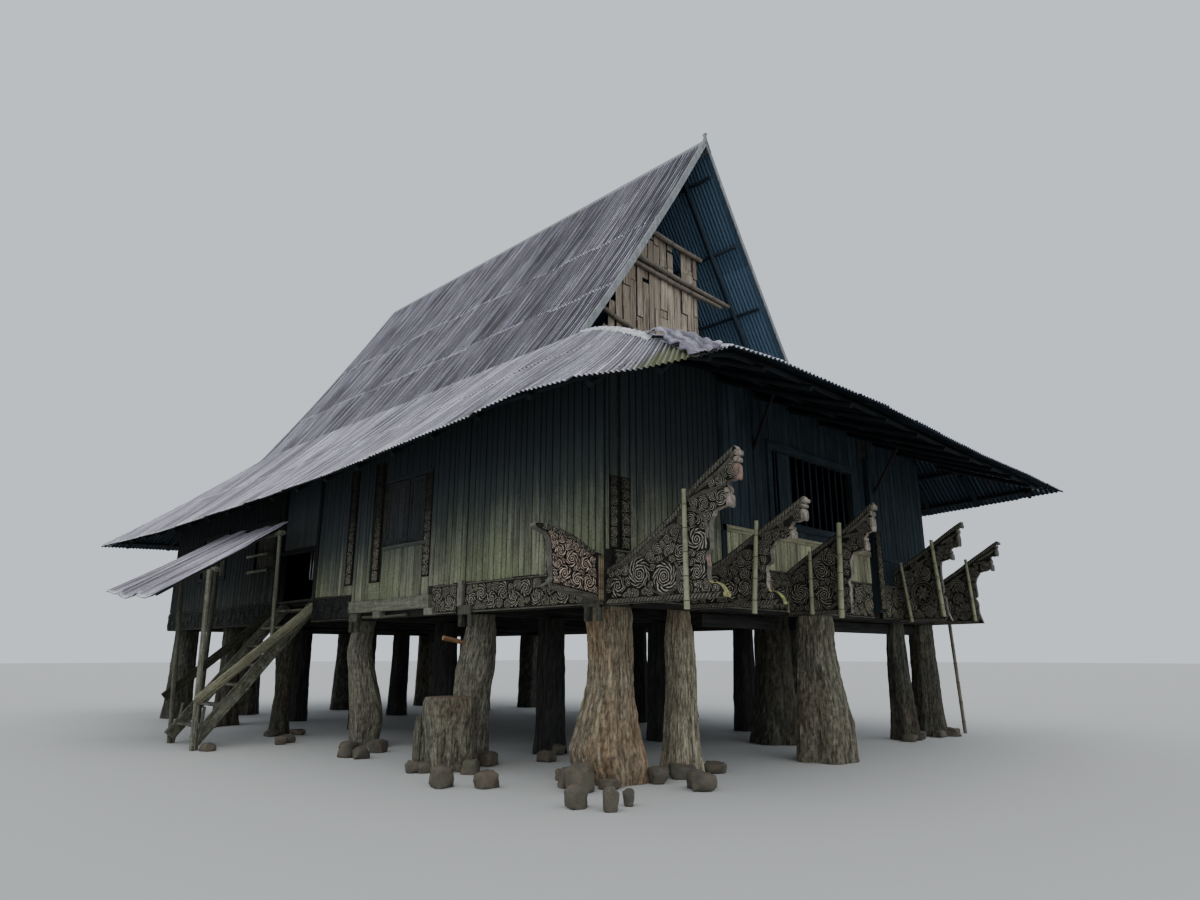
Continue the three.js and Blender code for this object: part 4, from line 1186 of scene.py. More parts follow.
for name, skirt in skirts.items():
    dice = random.Random("skirt " + name)
    shape = Shape()
    half = skirt.half_far - 0.02
    if name == "left":
        # Two rows of sheets; the upper one laps over the lower one halfway down
        course(shape, skirt.place, -half, half, left_top, lambda a: 0.50, 6, dice, 0.012, fan,
               0.012, tone=0.60)
        course(shape, skirt.place, -half, half, lambda a: max(0.47, left_top(a)), left_eave, 7,
               dice, 0.004, fan, 0.006, patch=0.12, tone=0.62)
    else:
        course(shape, skirt.place, -half, half, lambda a, k=skirt: float(k.hip(a)),
               lambda a: 0.992, 6, dice, 0.004, None, 0.006, tone=0.55)
    if not skirt.long_side:
        course(shape, apron_place(skirt.side), -BREAK_HALF + 0.16, BREAK_HALF - 0.16,
               lambda a: 0.0, lambda a: 1.0, 4, dice, 0.012)
    piece("roof_skirt_" + name, shape, [iron_skirt, iron_underside_in_shade], ["skirt_" + name], 80)


def folded_strip(shape, spine, left, right, columns, dice, scallop, lift, kind=0, crumple=0.0):
    """A flashing bent over a line: left and right give its two legs from the spine."""
    spine = np.asarray(spine, float)
    t = np.linspace(0, 1, columns)
    line = np.stack([np.interp(t, np.linspace(0, 1, len(spine)), spine[:, k]) for k in range(3)], 1)
    rows = []
    for f in (-1.0, -0.55, -0.15, 0.0, 0.15, 0.55, 1.0):
        leg = np.asarray(left if f < 0 else right, float)
        share = abs(f)
        wave = scallop * np.cos(np.arange(columns) * math.pi) * (1 if share == 1.0 else 0)
        jitter = np.array([[dice.uniform(-1, 1) for _ in range(3)] for _ in range(columns)])
        point = line + leg * (share + wave[:, None]) + [0, 0, lift * (1 - 0.6 * share)]
        rows.append(point + jitter * crumple)
    upper = np.stack(rows)
    lower = upper - [0, 0, 0.004]
    count = len(rows)
    way = np.stack([np.broadcast_to(np.arange(count)[:, None] * 0.1, (count, columns)),
                    np.broadcast_to(t * 9, (count, columns)), np.zeros((count, columns))], -1)
    facing_up = np.cross(upper[3, 1] - upper[3, 0], upper[4, 0] - upper[3, 0])[2] > 0
    shape.add(upper, grid_faces(count, columns, turned=not facing_up), way, 0.6, kind)
    # The under face is a little darker: painted shade
    shape.add(lower, grid_faces(count, columns, turned=facing_up), way, 0.4, kind)


def strip_between(shape, lines, thick, tone=0.5):
    """A thin closed skin over a row of lines of equal point count."""
    upper = np.array(lines, float)
    normal = normals_of(upper)
    lower = upper - normal * thick
    facing_up = np.dot(np.cross(upper[0, 1] - upper[0, 0], upper[1, 0] - upper[0, 0]),
                       normal[0, 0]) > 0
    sheet_faces(shape, upper, lower, facing_up, None, (tone, tone))
    sheet_rim(shape, upper, lower, facing_up, None, tone)


# Ridge cap, verge strips and hip caps
dice = random.Random("flashings")
shape = Shape()
folded_strip(shape, [(0, -5.44, 10.66), (0, 5.44, 10.66)], (-0.125, 0, -0.205), (0.125, 0, -0.205),
             286, dice, 0.035, 0.035)
slope_points = [(0.02, 10.63), (0.5, 9.86), (1.0, 9.06), (1.55, 8.22), (2.1, 7.39), (2.65, 6.6),
                (3.2, 5.82)]
for side in (-1, 1):
    for end in (-1, 1):
        y = end * VERGE
        lines = []
        for inward, rise in ((0.06, 0.030), (0.0, 0.034)):
            lines.append([(side * (x + rise * 0.8), y - end * inward, z + rise * 0.5)
                          for x, z in slope_points])
        strip_between(shape, lines, 0.006)
        fall = 0.07
        lines = [[(side * (x + 0.034 * 0.8), y, z + 0.017) for x, z in slope_points],
                 [(side * (x - 0.6 * fall), y + end * 0.004, z - 0.6 * fall)
                  for x, z in slope_points]]
        strip_between(shape, lines, 0.02, 0.45)
for name, side, end in (("left", -1, -1), ("left", -1, 1), ("right", 1, -1), ("right", 1, 1)):
    skirt = skirts[name]
    near_corner = (side, end) == (-1, -1)
    steps = np.linspace(0.02, 0.74 if near_corner else 0.97, 9)
    spine = [skirt.place(s, end * (RIDGE_HALF + (EAVE_Y - RIDGE_HALF) * s)) for s in steps]
    leg = 0.40 if near_corner else 1.0
    lift = 0.046 if near_corner else 0.024
    folded_strip(shape, spine, (side * 0.05 * leg, -end * 0.14 * leg, -0.035 * leg),
                 (-side * 0.12, end * 0.05, -0.035), 70, dice, 0.10, lift, int(near_corner), 0.010)
# The bent end of the ridge cap stands up at the front peak
finial = [(-0.03, 0.0), (0.03, 0.0), (0.045, 0.10), (0.02, 0.17), (0.05, 0.215), (0.0, 0.235),
          (-0.05, 0.20), (-0.02, 0.15), (-0.045, 0.08)]
plate(shape, Panel((0.0, -5.40, 10.60), (0.35, -0.94, 0), (0, 0, 1), (0.94, 0.35, 0)),
      rounded(finial)[0], 0.05, 0.01)
piece("roof_flashings", shape, [iron_trim, iron_pale], (), 40)


# The loose crumpled sheet over the near hip
def crumpled_sheet():
    dice = random.Random("crumpled sheet")
    shape = Shape()
    rows, columns = 54, 54
    left, front = skirts["left"], skirts["front"]
    bumps = np.array([[dice.uniform(-1, 1) for _ in range(8)] for _ in range(10)])

    def facet(p, q):
        """Flat triangles between random heights."""
        (i, f), (j, g) = divmod(p * 8.0, 1), divmod(q * 6.0, 1)
        i, j = int(i), int(j)
        if f + g < 1:
            near = bumps[i, j]
            return near + f * (bumps[i + 1, j] - near) + g * (bumps[i, j + 1] - near)
        far = bumps[i + 1, j + 1]
        return far + (1 - f) * (bumps[i, j + 1] - far) + (1 - g) * (bumps[i + 1, j] - far)

    grid = np.zeros((rows, columns, 3))
    shades = np.zeros((rows, columns))
    for r in range(rows):
        p = r / (rows - 1)
        for c in range(columns):
            q = c / (columns - 1)
            s = 0.69 + (0.325 + 0.02 * noise.noise(Vector((q * 6.0, 1.7, 0.0)))) * p
            # Past the hip by a ragged hand's breadth on the left, and well onto the front side
            ragged = 0.045 * noise.noise(Vector((p * 7.0, 8.2, 0.0)))
            ragged += 0.02 * math.sin(p * 42)
            across = -0.03 + ragged * (1 - q) + (0.56 - 0.18 * p) * q
            x = -(BREAK_HALF + (EAVE_X - BREAK_HALF) * s) + across
            y = max(-(RIDGE_HALF + (EAVE_Y - RIDGE_HALF) * s) - 0.10 * across, -EAVE_Y - 0.02)
            s_left = min((-x - BREAK_HALF) / (EAVE_X - BREAK_HALF), 1.0)
            s_front = min((-y - RIDGE_HALF) / (EAVE_Y - RIDGE_HALF), 1.0)
            base = min(float(left.place(s_left, y)[2]), float(front.place(s_front, x)[2]))
            fold = facet(p, q)
            raised = math.exp(-((p - 0.22) / 0.14) ** 2) * (1 - q) ** 2
            dome = math.sin(math.pi * min(1.0, 0.15 + 0.85 * q))
            dome *= math.sin(math.pi * min(1.0, p * 0.9 + 0.12))
            crinkle = abs(noise.noise(Vector((x * 11.0 - y * 4.0, y * 11.0, 5.0))))
            z = base + 0.050 + 0.065 * dome + 0.034 * fold * (0.35 + q) + 0.060 * raised
            grid[r, c] = (x, y, max(z + 0.010 * crinkle, base + 0.016))
            # Painted light and shade on the folds: higher folds and crinkles paler, lower ones
            # darker; paler also towards the front edge
            shades[r, c] = 0.32 + 0.50 * fold + 0.3 * crinkle + 0.6 * max(0.0, (q - 0.8) / 0.2)
    lower = grid - normals_of(grid) * 0.004
    down = np.broadcast_to(np.linspace(0, 1.6, rows)[:, None], (rows, columns))
    over = np.broadcast_to(np.linspace(0, 0.6, columns)[None, :], (rows, columns))
    way = np.stack([over, down, np.full((rows, columns), 31.0)], axis=-1)
    facing_up = np.cross(grid[5, 6] - grid[5, 5], grid[6, 5] - grid[5, 5])[2] > 0
    # The under face is dark: painted shade
    sheet_faces(shape, grid, lower, facing_up, way, (np.clip(shades, 0, 1), 0.1))
    piece("roof_crumpled_sheet", shape, [iron_loose], (), 13)


crumpled_sheet()


# Poles and purlins under the roof
def under_roof():
    dice = random.Random("under roof")
    shape = Shape()
    for side in (-1, 1):
        place = slope_place(side)
        for s in (0.32, 1.05, 1.75, 2.42, 3.06):
            spot = place(s, 0.0)
            x, z = spot[0] - side * 0.035, spot[2] - 0.062
            rod(shape, [(x, -5.28, z), (x, 5.28, z)], 0.032, 8, 0.45, dice, kind=1, rough=0.08)
        for y in np.arange(-4.75, 4.9, 1.18):
            path = [place(s, y) - [side * 0.07, 0, 0.125] for s in (0.12, 1.0, 2.1, 3.15)]
            rod(shape, path, 0.042, 8, 0.4, dice, kind=1, rough=0.05)
    for skirt in skirts.values():
        for s in (0.30, 0.62, 0.90):
            half = skirt.half_near + (skirt.half_far - skirt.half_near) * s - 0.12
            stations = np.linspace(-half, half, 15)
            path = [skirt.place(s, a) - [0, 0, 0.055] for a in stations]
            rod(shape, path, 0.033, 8, 0.55, dice)
        for a in np.arange(-skirt.half_far + 0.55, skirt.half_far - 0.3, 0.92):
            top = float(skirt.hip(a)) + 0.02
            if top > 0.9:
                continue
            path = [skirt.place(s, a) - [0, 0, 0.115] for s in np.linspace(top, 0.93, 5)]
            rod(shape, path, (0.044, 0.036), 8, 0.45, dice, rough=0.06)
    piece("roof_poles", shape, [roof_timber_in_shade, slope_timber], (), 50)


under_roof()


# Gable wall of flattened bamboo
def gable_front():
    dice = random.Random("gable")
    shape = Shape()
    face = -4.895

    def roof_at(x):
        return float(np.interp(abs(x), *zip(*SLOPE))) - 0.13

    x = -2.42
    while x < 0.24:
        width = dice.uniform(0.14, 0.20)
        right = min(x + width, 0.26)
        ceiling = min(roof_at(x), roof_at(right)) - 1.9 * max(0.0, -x - 1.9)
        tiers = [(5.88, min(7.86, ceiling))]
        if ceiling > 7.9:
            tiers.append((7.80, min(8.60 - dice.choice((0.0, 0.0, 0.04, 0.12)), ceiling)))
        for low, high in tiers:
            if high - low < 0.15:
                continue
            if low > 7 and x > -1.15 and dice.random() < 0.10:
                continue
            cuts = sorted([low, high] + [dice.uniform(low, high) for _ in range(3)])
            lean = dice.uniform(-0.08, -0.03) if x < -1.95 else dice.uniform(-0.012, 0.012)
            for a, b in zip(cuts, cuts[1:]):
                if b - a < 0.05:
                    continue
                y = face + dice.uniform(-0.012, 0.012)
                slit = 0.05 if low > 7 and -0.75 < x < -0.35 else dice.choice((0.008, 0.014, 0.022))
                tone = dice.uniform(0.30, 0.75) - (0.25 if low > 7 else 0.0)
                bar(shape, ((x + right) / 2 + lean, y, a + 0.006), ((x + right) / 2, y, b - 0.006),
                    right - x - slit, 0.014, tone, REARWARD, 3, 0.003, 0.004, dice)
        x = right
    bars = [((-1.20, 8.55), (0.33, 8.48), 0.045), ((-1.61, 7.92), (1.15, 7.82), 0.045),
            ((-1.70, 7.78), (0.90, 7.72), 0.040), ((-2.42, 6.72), (-1.45, 6.52), 0.040)]
    for start, end, radius in bars:
        y = face - 0.012 - radius
        middle = ((start[0] + end[0]) / 2, y, (start[1] + end[1]) / 2 - 0.02)
        rod(shape, [(start[0], y, start[1]), middle, (end[0], y, end[1])], radius, 10, 0.5, dice,
            joints=0.34, kind=1)
    piece("gable_front_bamboo", shape, [flat_bamboo, bamboo_dull], ["gable_wall_front"],
          30)


gable_front()


# Walls
# The four walls: the place of the plane, the way it faces and whether it runs along Y
HALF_WIDTH = 4.30
HALF_LENGTH = 6.95
LEFT_WALL = (-HALF_WIDTH, -1, True)
RIGHT_WALL = (HALF_WIDTH, 1, True)
FRONT_WALL = (-HALF_LENGTH, -1, False)
REAR_WALL = (HALF_LENGTH, 1, False)
# Heights at which boards begin: at the floor, past the floor's edge, over the carved front beam
# and over the rail of the front window
WALL_FOOT = 2.285
LOW_FOOT = 2.16
FRONT_FOOT = 2.50
RAIL_TOP = 3.02
BOARD = 0.024
SEAM = 0.013
BOARD_GAP = 0.07
POST_GAP = 0.08
# Windows as (from, to, sill, head)
SHUTTER_WINDOW = (-3.53, -2.30, 2.93, 3.92)
FRONT_WINDOW = (-0.90, 1.50, 3.20, 4.27)


def wall_boards(shape, wall, spans, low, holes, dice, width=0.118, kind=0, high=math.inf):
    """Upright boards on a wall. spans are the places where boards must meet; holes are
    (from, to, sill, head)."""
    fixed, outward, along_y = wall

    def spot(out, a, *height):
        return (out, a, *height) if along_y else (a, out, *height)

    for start, end in zip(spans, spans[1:]):
        count = max(1, int(round((end - start) / width)))
        edges = [start + (end - start) * (k + (0.18 * dice.uniform(-1, 1) if 0 < k < count else 0))
                 / count for k in range(count + 1)]
        for left, right in zip(edges, edges[1:]):
            middle = (left + right) / 2
            top = min(roof_under(*spot(fixed, left)), roof_under(*spot(fixed, right)))
            top = min(top - BOARD_GAP, high)
            runs = [(low, top)]
            for a, b, sill, head in holes:
                if a < middle < b:
                    runs = [(low, sill), (head, top)]
            plane = fixed + outward * (BOARD / 2 + dice.uniform(0.0, 0.004))
            tone = min(1.0, max(0.0, dice.gauss(0.52, 0.16)))
            across = right - left - SEAM
            size = (BOARD, across) if along_y else (across, BOARD)
            for base, head in runs:
                if head - base < 0.04:
                    continue
                drop = dice.uniform(0, 0.012)
                bar(shape, spot(plane, middle, base - drop), spot(plane, middle, head), *size, tone,
                    REARWARD, 2, 0.0015, 0.007, dice, kind)


def window_bars(shape, low, high, dice, kind):
    """Square upright bars set close together in a window."""
    low, high = np.array(low), np.array(high)
    run = np.array([high[0] - low[0], high[1] - low[1], 0.0])
    count = int(round(np.linalg.norm(run) / 0.072))
    for k in range(1, count):
        foot = low + run * k / count
        bar(shape, foot, (foot[0], foot[1], high[2]), 0.050, 0.052, dice.uniform(0.3, 0.6),
            REARWARD, 1, 0, 0.004, dice, kind)


def side_window(shape, side, window, narrower, inner, dice, kind):
    """Posts, rails and bars of a window in a long wall. narrower shifts the posts inwards and
    inner is the plane of their back."""
    low, high, sill, head = window
    for y in (low + narrower, high - narrower):
        box(shape, (side * inner, y - 0.045, sill - 0.06), (side * 4.345, y + 0.045, head + 0.06),
            0.5, 0.006, dice)
    for z in (sill, head):
        box(shape, (side * 4.24, low - 0.06, z - 0.04), (side * 4.35, high + 0.06, z + 0.04), 0.5,
            0.006, dice)
    window_bars(shape, (side * 4.27, low, sill), (side * 4.27, high, head), dice, kind)


def carved_strip(shape, panel, width, height, dice, ground, scrolled):
    """A narrow upright board with one row of scrolls."""
    outline = np.array([(-width / 2, 0), (width / 2, 0), (width / 2, height), (-width / 2, height)])
    plate(shape, panel, outline, 0.022, 0.004, ground, ground)
    face = panel.raised(0.011)
    edge = width / 2 - 0.008
    for side in (-edge, edge):
        ribbon(shape, face, [(side, 0.01), (side, height / 2), (side, height - 0.01)], 0.013, 0.010,
               0.55, ground)
    rings = chain(height - 0.02, 0.40 * width, 0.0)
    rings = [(u, v + 0.01, r) for u, v, r in rings]
    carve(shape, face, inset(outline, 0.014), dice, SMALL_RADII, 0.014, 0.002, rings, scrolled,
          int(200 * height))


def left_wall():
    dice = random.Random("left wall")
    shape = Shape()
    left, right, sill, head = SHUTTER_WINDOW
    wall_boards(shape, LEFT_WALL, [-HALF_LENGTH, -4.425], WALL_FOOT, [], dice)
    wall_boards(shape, LEFT_WALL, [-4.413, -3.56], WALL_FOOT, [], dice)
    wall_boards(shape, LEFT_WALL, [-3.38, -2.27], LOW_FOOT, [(-9, 9, sill, head)], dice, 0.19)
    wall_boards(shape, LEFT_WALL, [-1.93, -1.43], LOW_FOOT, [], dice, 0.10)
    wall_boards(shape, LEFT_WALL, [-1.16, -0.14], WALL_FOOT, [], dice, 0.10)
    for low, high, top in ((-3.56, -3.38, 3.98), (-2.27, -1.93, 4.28), (-1.43, -1.16, 4.28)):
        panel = left_panel(-4.311, (low + high) / 2, 2.42)
        carved_strip(shape, panel, min(0.19, high - low), top - 2.42, dice, 1, 2)
        box(shape, (-4.325, low + 0.01, LOW_FOOT), (-4.29, high - 0.01, 2.415), 0.55, 0.006, dice)
        wall_boards(shape, LEFT_WALL, [low, high], top, [], dice)
    # Window surround; the plain boards below the window come with the boards above
    for z in (2.905, 3.945):
        box(shape, (-4.335, left - 0.02, z - 0.03), (-4.30, right + 0.02, z + 0.03), 0.1, 0.005,
            dice)
    piece("left_wall_boards", shape, [board_wood, hollow_shade_wood, scroll_dull], (),
          30)
    for name, low, high in (("front", -3.526, -2.918), ("rear", -2.912, -2.304)):
        leaf = Shape()
        for k in range(4):
            a = low + (high - low) * k / 4
            b = low + (high - low) * (k + 1) / 4
            box(leaf, (-4.290, a + 0.0015, 2.935), (-4.262, b - 0.0015, 3.912),
                dice.uniform(0.3, 0.5), 0.004, dice)
        for z in (2.99, 3.86):
            box(leaf, (-4.302, low + 0.01, z - 0.045), (-4.288, high - 0.01, z + 0.045), 0.4,
                0.004, dice)
        for y in (low + 0.035, high - 0.035):
            box(leaf, (-4.299, y - 0.03, 3.04), (-4.288, y + 0.03, 3.81), 0.4, 0.004, dice)
        piece("shutter_" + name, leaf, [shutter_wood], ["shutter_leaf_" + name], 30)


left_wall()


def rest_of_left_wall():
    dice = random.Random("left rear")
    shape = Shape()
    # Plain panel over the doorway, with the doorway's posts and lintel
    top = roof_under(-HALF_WIDTH, 0.5) - POST_GAP
    for low, high in ((-0.135, 0.43), (0.44, 1.0), (1.01, 1.245)):
        middle = (low + high) / 2
        bar(shape, (-4.292, middle, 3.16), (-4.292, middle, top), 0.012, high - low, 0.55,
            REARWARD, 1, 0, 0.003, dice, 1)
    for y in (-0.165, 1.275):
        top = roof_under(-HALF_WIDTH, y) - POST_GAP
        box(shape, (-4.35, y - 0.045, 2.26), (-4.22, y + 0.045, top), 0.45, 0.008, dice)
    box(shape, (-4.345, -0.12, 3.10), (-4.23, 1.23, 3.165), 0.45, 0.008, dice)
    box(shape, (-4.33, -0.12, 2.235), (-4.15, 1.23, 2.275), 0.5, 0.006, dice)
    windows = [(1.50, 2.50, 2.90, 3.80), (3.90, 5.30, 2.90, 3.80)]
    wall_boards(shape, LEFT_WALL, [1.32, 1.50, 2.50, 3.90, 5.30, HALF_LENGTH], WALL_FOOT, windows,
                dice, 0.16)
    for window in windows:
        side_window(shape, -1, window, 0.02, 4.25, dice, 2)
    for low, high, z in ((1.77, 2.76, 3.20), (1.78, 2.67, 2.89)):
        box(shape, (-4.375, low, z - 0.022), (-4.348, high, z + 0.022), 0.8, 0.005, dice, 3)
    piece("left_wall_rear_boards", shape, [far_board_in_shade, pale_panel, bracket_wood, stair_wood], (),
          30)


rest_of_left_wall()


def front_wall():
    dice = random.Random("front wall")
    shape = Shape()
    left, right, sill, head = FRONT_WINDOW
    wall_boards(shape, FRONT_WALL, [-3.90, -2.15], FRONT_FOOT, [], dice, 0.108)
    wall_boards(shape, FRONT_WALL, [-2.15, 1.99], FRONT_FOOT, [], dice, 0.21, 3, 2.93)
    for spans in ([-2.06, left, right, 1.99], [left, right]):
        wall_boards(shape, FRONT_WALL, spans, RAIL_TOP, [FRONT_WINDOW], dice, 0.19, 2)
    wall_boards(shape, FRONT_WALL, [2.22, HALF_WIDTH], FRONT_FOOT, [], dice, 0.16, 2)
    wall_boards(shape, FRONT_WALL, [-HALF_WIDTH, -4.245], FRONT_FOOT, [], dice, 0.06)
    # Rails, window frame and a shutter leaf that stands inside the window
    box(shape, (-2.15, -7.00, 2.925), (1.99, -6.94, 3.015), 0.30, 0.006, dice, 3)
    box(shape, (2.22, -6.99, 2.90), (4.28, -6.94, 2.98), 0.3, 0.006, dice, 2)
    top = roof_under(-2.1, -HALF_LENGTH) - POST_GAP
    box(shape, (-2.16, -7.00, FRONT_FOOT), (-2.06, -6.93, top), 0.2, 0.008, dice, 2)
    for x in (-0.95, 1.55):
        box(shape, (x - 0.055, -7.01, RAIL_TOP), (x + 0.055, -6.93, 4.36), 0.45, 0.006, dice, 2)
    for z in (3.16, 4.32):
        box(shape, (-1.0, -7.015, z - 0.05), (1.6, -6.93, z + 0.05), 0.45, 0.006, dice, 2)
    box(shape, (-0.62, -6.93, 3.21), (-0.28, -6.905, 4.26), 0.4, 0.005, dice, 2)
    for k in range(1, 12):
        x = left + (right - left) * k / 12
        rod(shape, [(x, -6.92, sill), (x, -6.92, head)], 0.015, 8, 0.4, dice, kind=2)
    # Two carved strips beside the near corner, and the carved jamb further along
    height = 0.84
    for middle, width in ((-4.178, 0.130), (-3.985, 0.158)):
        panel = front_panel(middle, -6.961, FRONT_FOOT)
        carved_strip(shape, panel, width, height, dice, 1, 4)
        wall_boards(shape, FRONT_WALL, [middle - width / 2, middle + width / 2],
                    FRONT_FOOT + height, [], dice)
    panel = front_panel(2.105, -7.075, 2.06)
    carved_strip(shape, panel, 0.20, 1.30, dice, 1, 4)
    box(shape, (2.0, -7.065, 2.03), (2.21, -6.94, 4.6), 0.3, 0.006, dice, 2)
    piece("front_wall_boards", shape,
          [board_wood, hollow_shade_wood, front_wood_in_shade, front_plank, scroll_dull], (), 30)


front_wall()


def plain_walls():
    dice = random.Random("plain walls")
    shape = Shape()
    sides = [SHUTTER_WINDOW, (2.30, 3.53, 2.93, 3.92)]
    spans = [-HALF_LENGTH, -3.53, -2.30, 2.30, 3.53, HALF_LENGTH]
    wall_boards(shape, RIGHT_WALL, spans, WALL_FOOT, sides, dice, 0.15)
    for window in sides:
        side_window(shape, 1, window, 0.0, 4.24, dice, 1)
    rear = (-1.20, 1.20, 3.20, 4.27)
    spans = [-HALF_WIDTH, -1.20, 1.20, HALF_WIDTH]
    wall_boards(shape, REAR_WALL, spans, WALL_FOOT, [rear], dice, 0.16)
    for x in (-1.2, 1.2):
        box(shape, (x - 0.05, 6.89, 3.14), (x + 0.05, 7.0, 4.33), 0.5, 0.006, dice)
    for z in (3.20, 4.27):
        box(shape, (-1.26, 6.89, z - 0.045), (1.26, 7.0, z + 0.045), 0.5, 0.006, dice)
    window_bars(shape, (-1.2, 6.92, 3.20), (1.2, 6.92, 4.27), dice, 1)
    piece("plain_wall_boards", shape, [board_wood, bamboo_dull], (), 30)


plain_walls()


# Carved beams
def beam_carving(shape, panel, length, height, dice, thick, scrolled=3, border=1):
    """A carved board with a row of scrolls between two borders."""
    outline = np.array([(0, 0), (length, 0), (length, height), (0, height)])
    plate(shape, panel, outline, thick, 0.005, 0, 0)
    face = panel.raised(thick / 2)
    radius = 0.27 * height
    row = [(v, height / 2 + u, r) for u, v, r in chain(length - 0.04, radius, 0.12 * height)]
    row = [(u + 0.02, v, r * dice.uniform(0.86, 1.0)) for u, v, r in row]
    field = np.array([(0, 0.024), (length, 0.024), (length, height - 0.024), (0, height - 0.024)])
    carve(shape, face, field, dice, RADII[2:8], 0.020, 0.002, row, scrolled, int(70 * length))
    for v in (0.012, height - 0.012):
        rope(shape, face, [(0.01, v), (length - 0.01, v)], 0.020, 0.012, 0.034, border)


def beams():
    dice = random.Random("beams")
    shape = Shape()
    for low, high in ((-6.90, -4.47), (-4.27, -3.70), (-1.44, -0.15), (1.25, 6.93)):
        panel = left_panel(-4.318, low, 1.885)
        # The far beams take the dimmer carving and a dark border: painted shade
        near = low < -2
        beam_carving(shape, panel, high - low, 0.385, dice, 0.035, 3 if near else 5,
                     1 if near else 4)
    # Plain plank in the middle of the left side, on small blocks over a dark gap
    bar(shape, (-4.362, -3.70, 2.065), (-4.362, -1.50, 2.065), 0.075, 0.180, 0.6, UPWARD, 5,
        0.003, 0.010, dice, 2)
    for low, high in ((-2.45, -2.25), (-3.80, -3.60)):
        box(shape, (-4.40, low, 1.88), (-4.305, high, 1.975), 0.7, 0.008, dice, 2)
    rod(shape, [(-4.36, -3.12, 1.905), (-4.365, -2.5, 1.895), (-4.36, -1.90, 1.905)], 0.020, 8, 0.7,
        dice, kind=4, rough=0.15)
    # Notched brackets that hang from the beam beside the posts
    for low, high, foot in ((-4.65, -4.37, 1.71), (-1.76, -1.52, 1.69), (-6.94, -6.70, 1.71)):
        box(shape, (-4.385, low, foot + 0.15), (-4.305, high, 1.98), 0.5, 0.008, dice, 4)
        for a, b in ((low, low + 0.085), (high - 0.085, high)):
            box(shape, (-4.38, a, foot), (-4.31, b, foot + 0.17), 0.45, 0.010, dice, 4)
    box(shape, (-4.375, -4.42, 1.97), (-4.31, -4.32, 2.30), 0.5, 0.008, dice, 1)
    piece("left_beam_carving", shape,
          [hollow_shade_wood, carved_wood, sill_wood, scroll_dull, bracket_wood, scroll_in_shade], (),
          30)
    shape = Shape()
    for start, length in ((-4.19, 6.10), (2.22, 2.06)):
        beam_carving(shape, front_panel(start, -6.975, 1.93), length, 0.56, dice, 0.045)
    # Dark bearer under the carved front and a ledger between the posts
    box(shape, (-3.9, -7.02, 1.885), (4.25, -6.90, 1.928), 0.3, 0.006, dice, 2)
    for low, high in ((-2.45, -0.72), (-0.25, 2.75), (3.05, 3.76)):
        box(shape, (low, -6.84, 1.70), (high, -6.74, 1.86), 0.4, 0.008, dice, 2)
    piece("front_beam_carving", shape, [hollow_shade_wood, carved_wood, dark_timber, scroll_dull], (),
          30)


beams()


# Wing-shaped beam ends, each with its own outline, the same as in the part's source
BEAM_BOTTOM = 1.88
WING_ROOT = -6.9503
LONG_FOOT = 0.15
WINGS = [
    {"x": -4.245, "toe": 1.585, "heel": 1.370, "neck": 1.420, "chin": (1.480, 0.855),
     "curl": (1.672, 0.950), "notch": (1.640, 1.112), "lobe": (1.772, 1.210), "tip": (1.792, 1.400),
     "top": [(1.724, 1.466), (1.223, 1.143), (1.000, 0.929), (0.657, 0.711), (0.422, 0.575),
             (0.203, 0.464), (0, 0.390)]},
    {"x": -2.900, "toe": 1.376, "heel": 1.170, "neck": 1.250, "chin": (1.310, 0.700),
     "curl": (1.540, 0.800), "notch": (1.555, 0.880), "lobe": (1.690, 0.950), "tip": (1.720, 1.110),
     "top": [(1.665, 1.155), (1.152, 0.877), (0.760, 0.660), (0.480, 0.520), (0.240, 0.430),
             (0, 0.370)]},
    {"x": -0.600, "toe": 0.965, "heel": 0.965, "neck": 1.015, "chin": (1.060, 0.800),
     "curl": (1.260, 0.930), "notch": (1.277, 1.040), "lobe": (1.370, 1.200), "tip": (1.405, 1.390),
     "top": [(1.362, 1.440), (0.948, 1.142), (0.383, 0.843), (0, 0.600)]},
    {"x": 2.850, "toe": 0.935, "heel": 0.870, "neck": 0.850, "chin": (0.865, 0.980),
     "curl": (1.057, 1.100), "notch": (1.100, 1.186), "lobe": (1.190, 1.370), "tip": (1.258, 1.550),
     "top": [(1.229, 1.600), (0.985, 1.455), (0.717, 1.281), (0.443, 1.103), (0.166, 0.955),
             (0, 0.860)]},
    {"x": 4.245, "toe": 0.935, "heel": 0.875, "neck": 0.890, "chin": (0.965, 0.890),
     "curl": (1.200, 1.070), "notch": (1.235, 1.140), "lobe": (1.300, 1.260), "tip": (1.346, 1.380),
     "top": [(1.300, 1.415), (1.025, 1.244), (0.841, 1.136), (0.556, 0.943), (0.385, 0.847),
             (0, 0.600)]},
]


# Which part of the edge follows each point of the outline, and the finish each part has
NECK, CURL, TIP, TOP, FOOT, HEEL, BROW = range(7)
EDGE_FINISHES = {
    1: ("edge", "pale", "pale", "edge", "yellow", "edge", "pink"),
    2: ("edge", "pale", "pale", "edge", "yellow", "pale", "pale"),
    3: ("pale", "pale", "pale", "edge", "edge", "pale", "pale"),
    4: ("edge", "edge", "edge", "edge", "pale", "edge", "edge"),
    5: ("edge", "edge", "edge", "edge", "edge", "edge", "edge"),
}


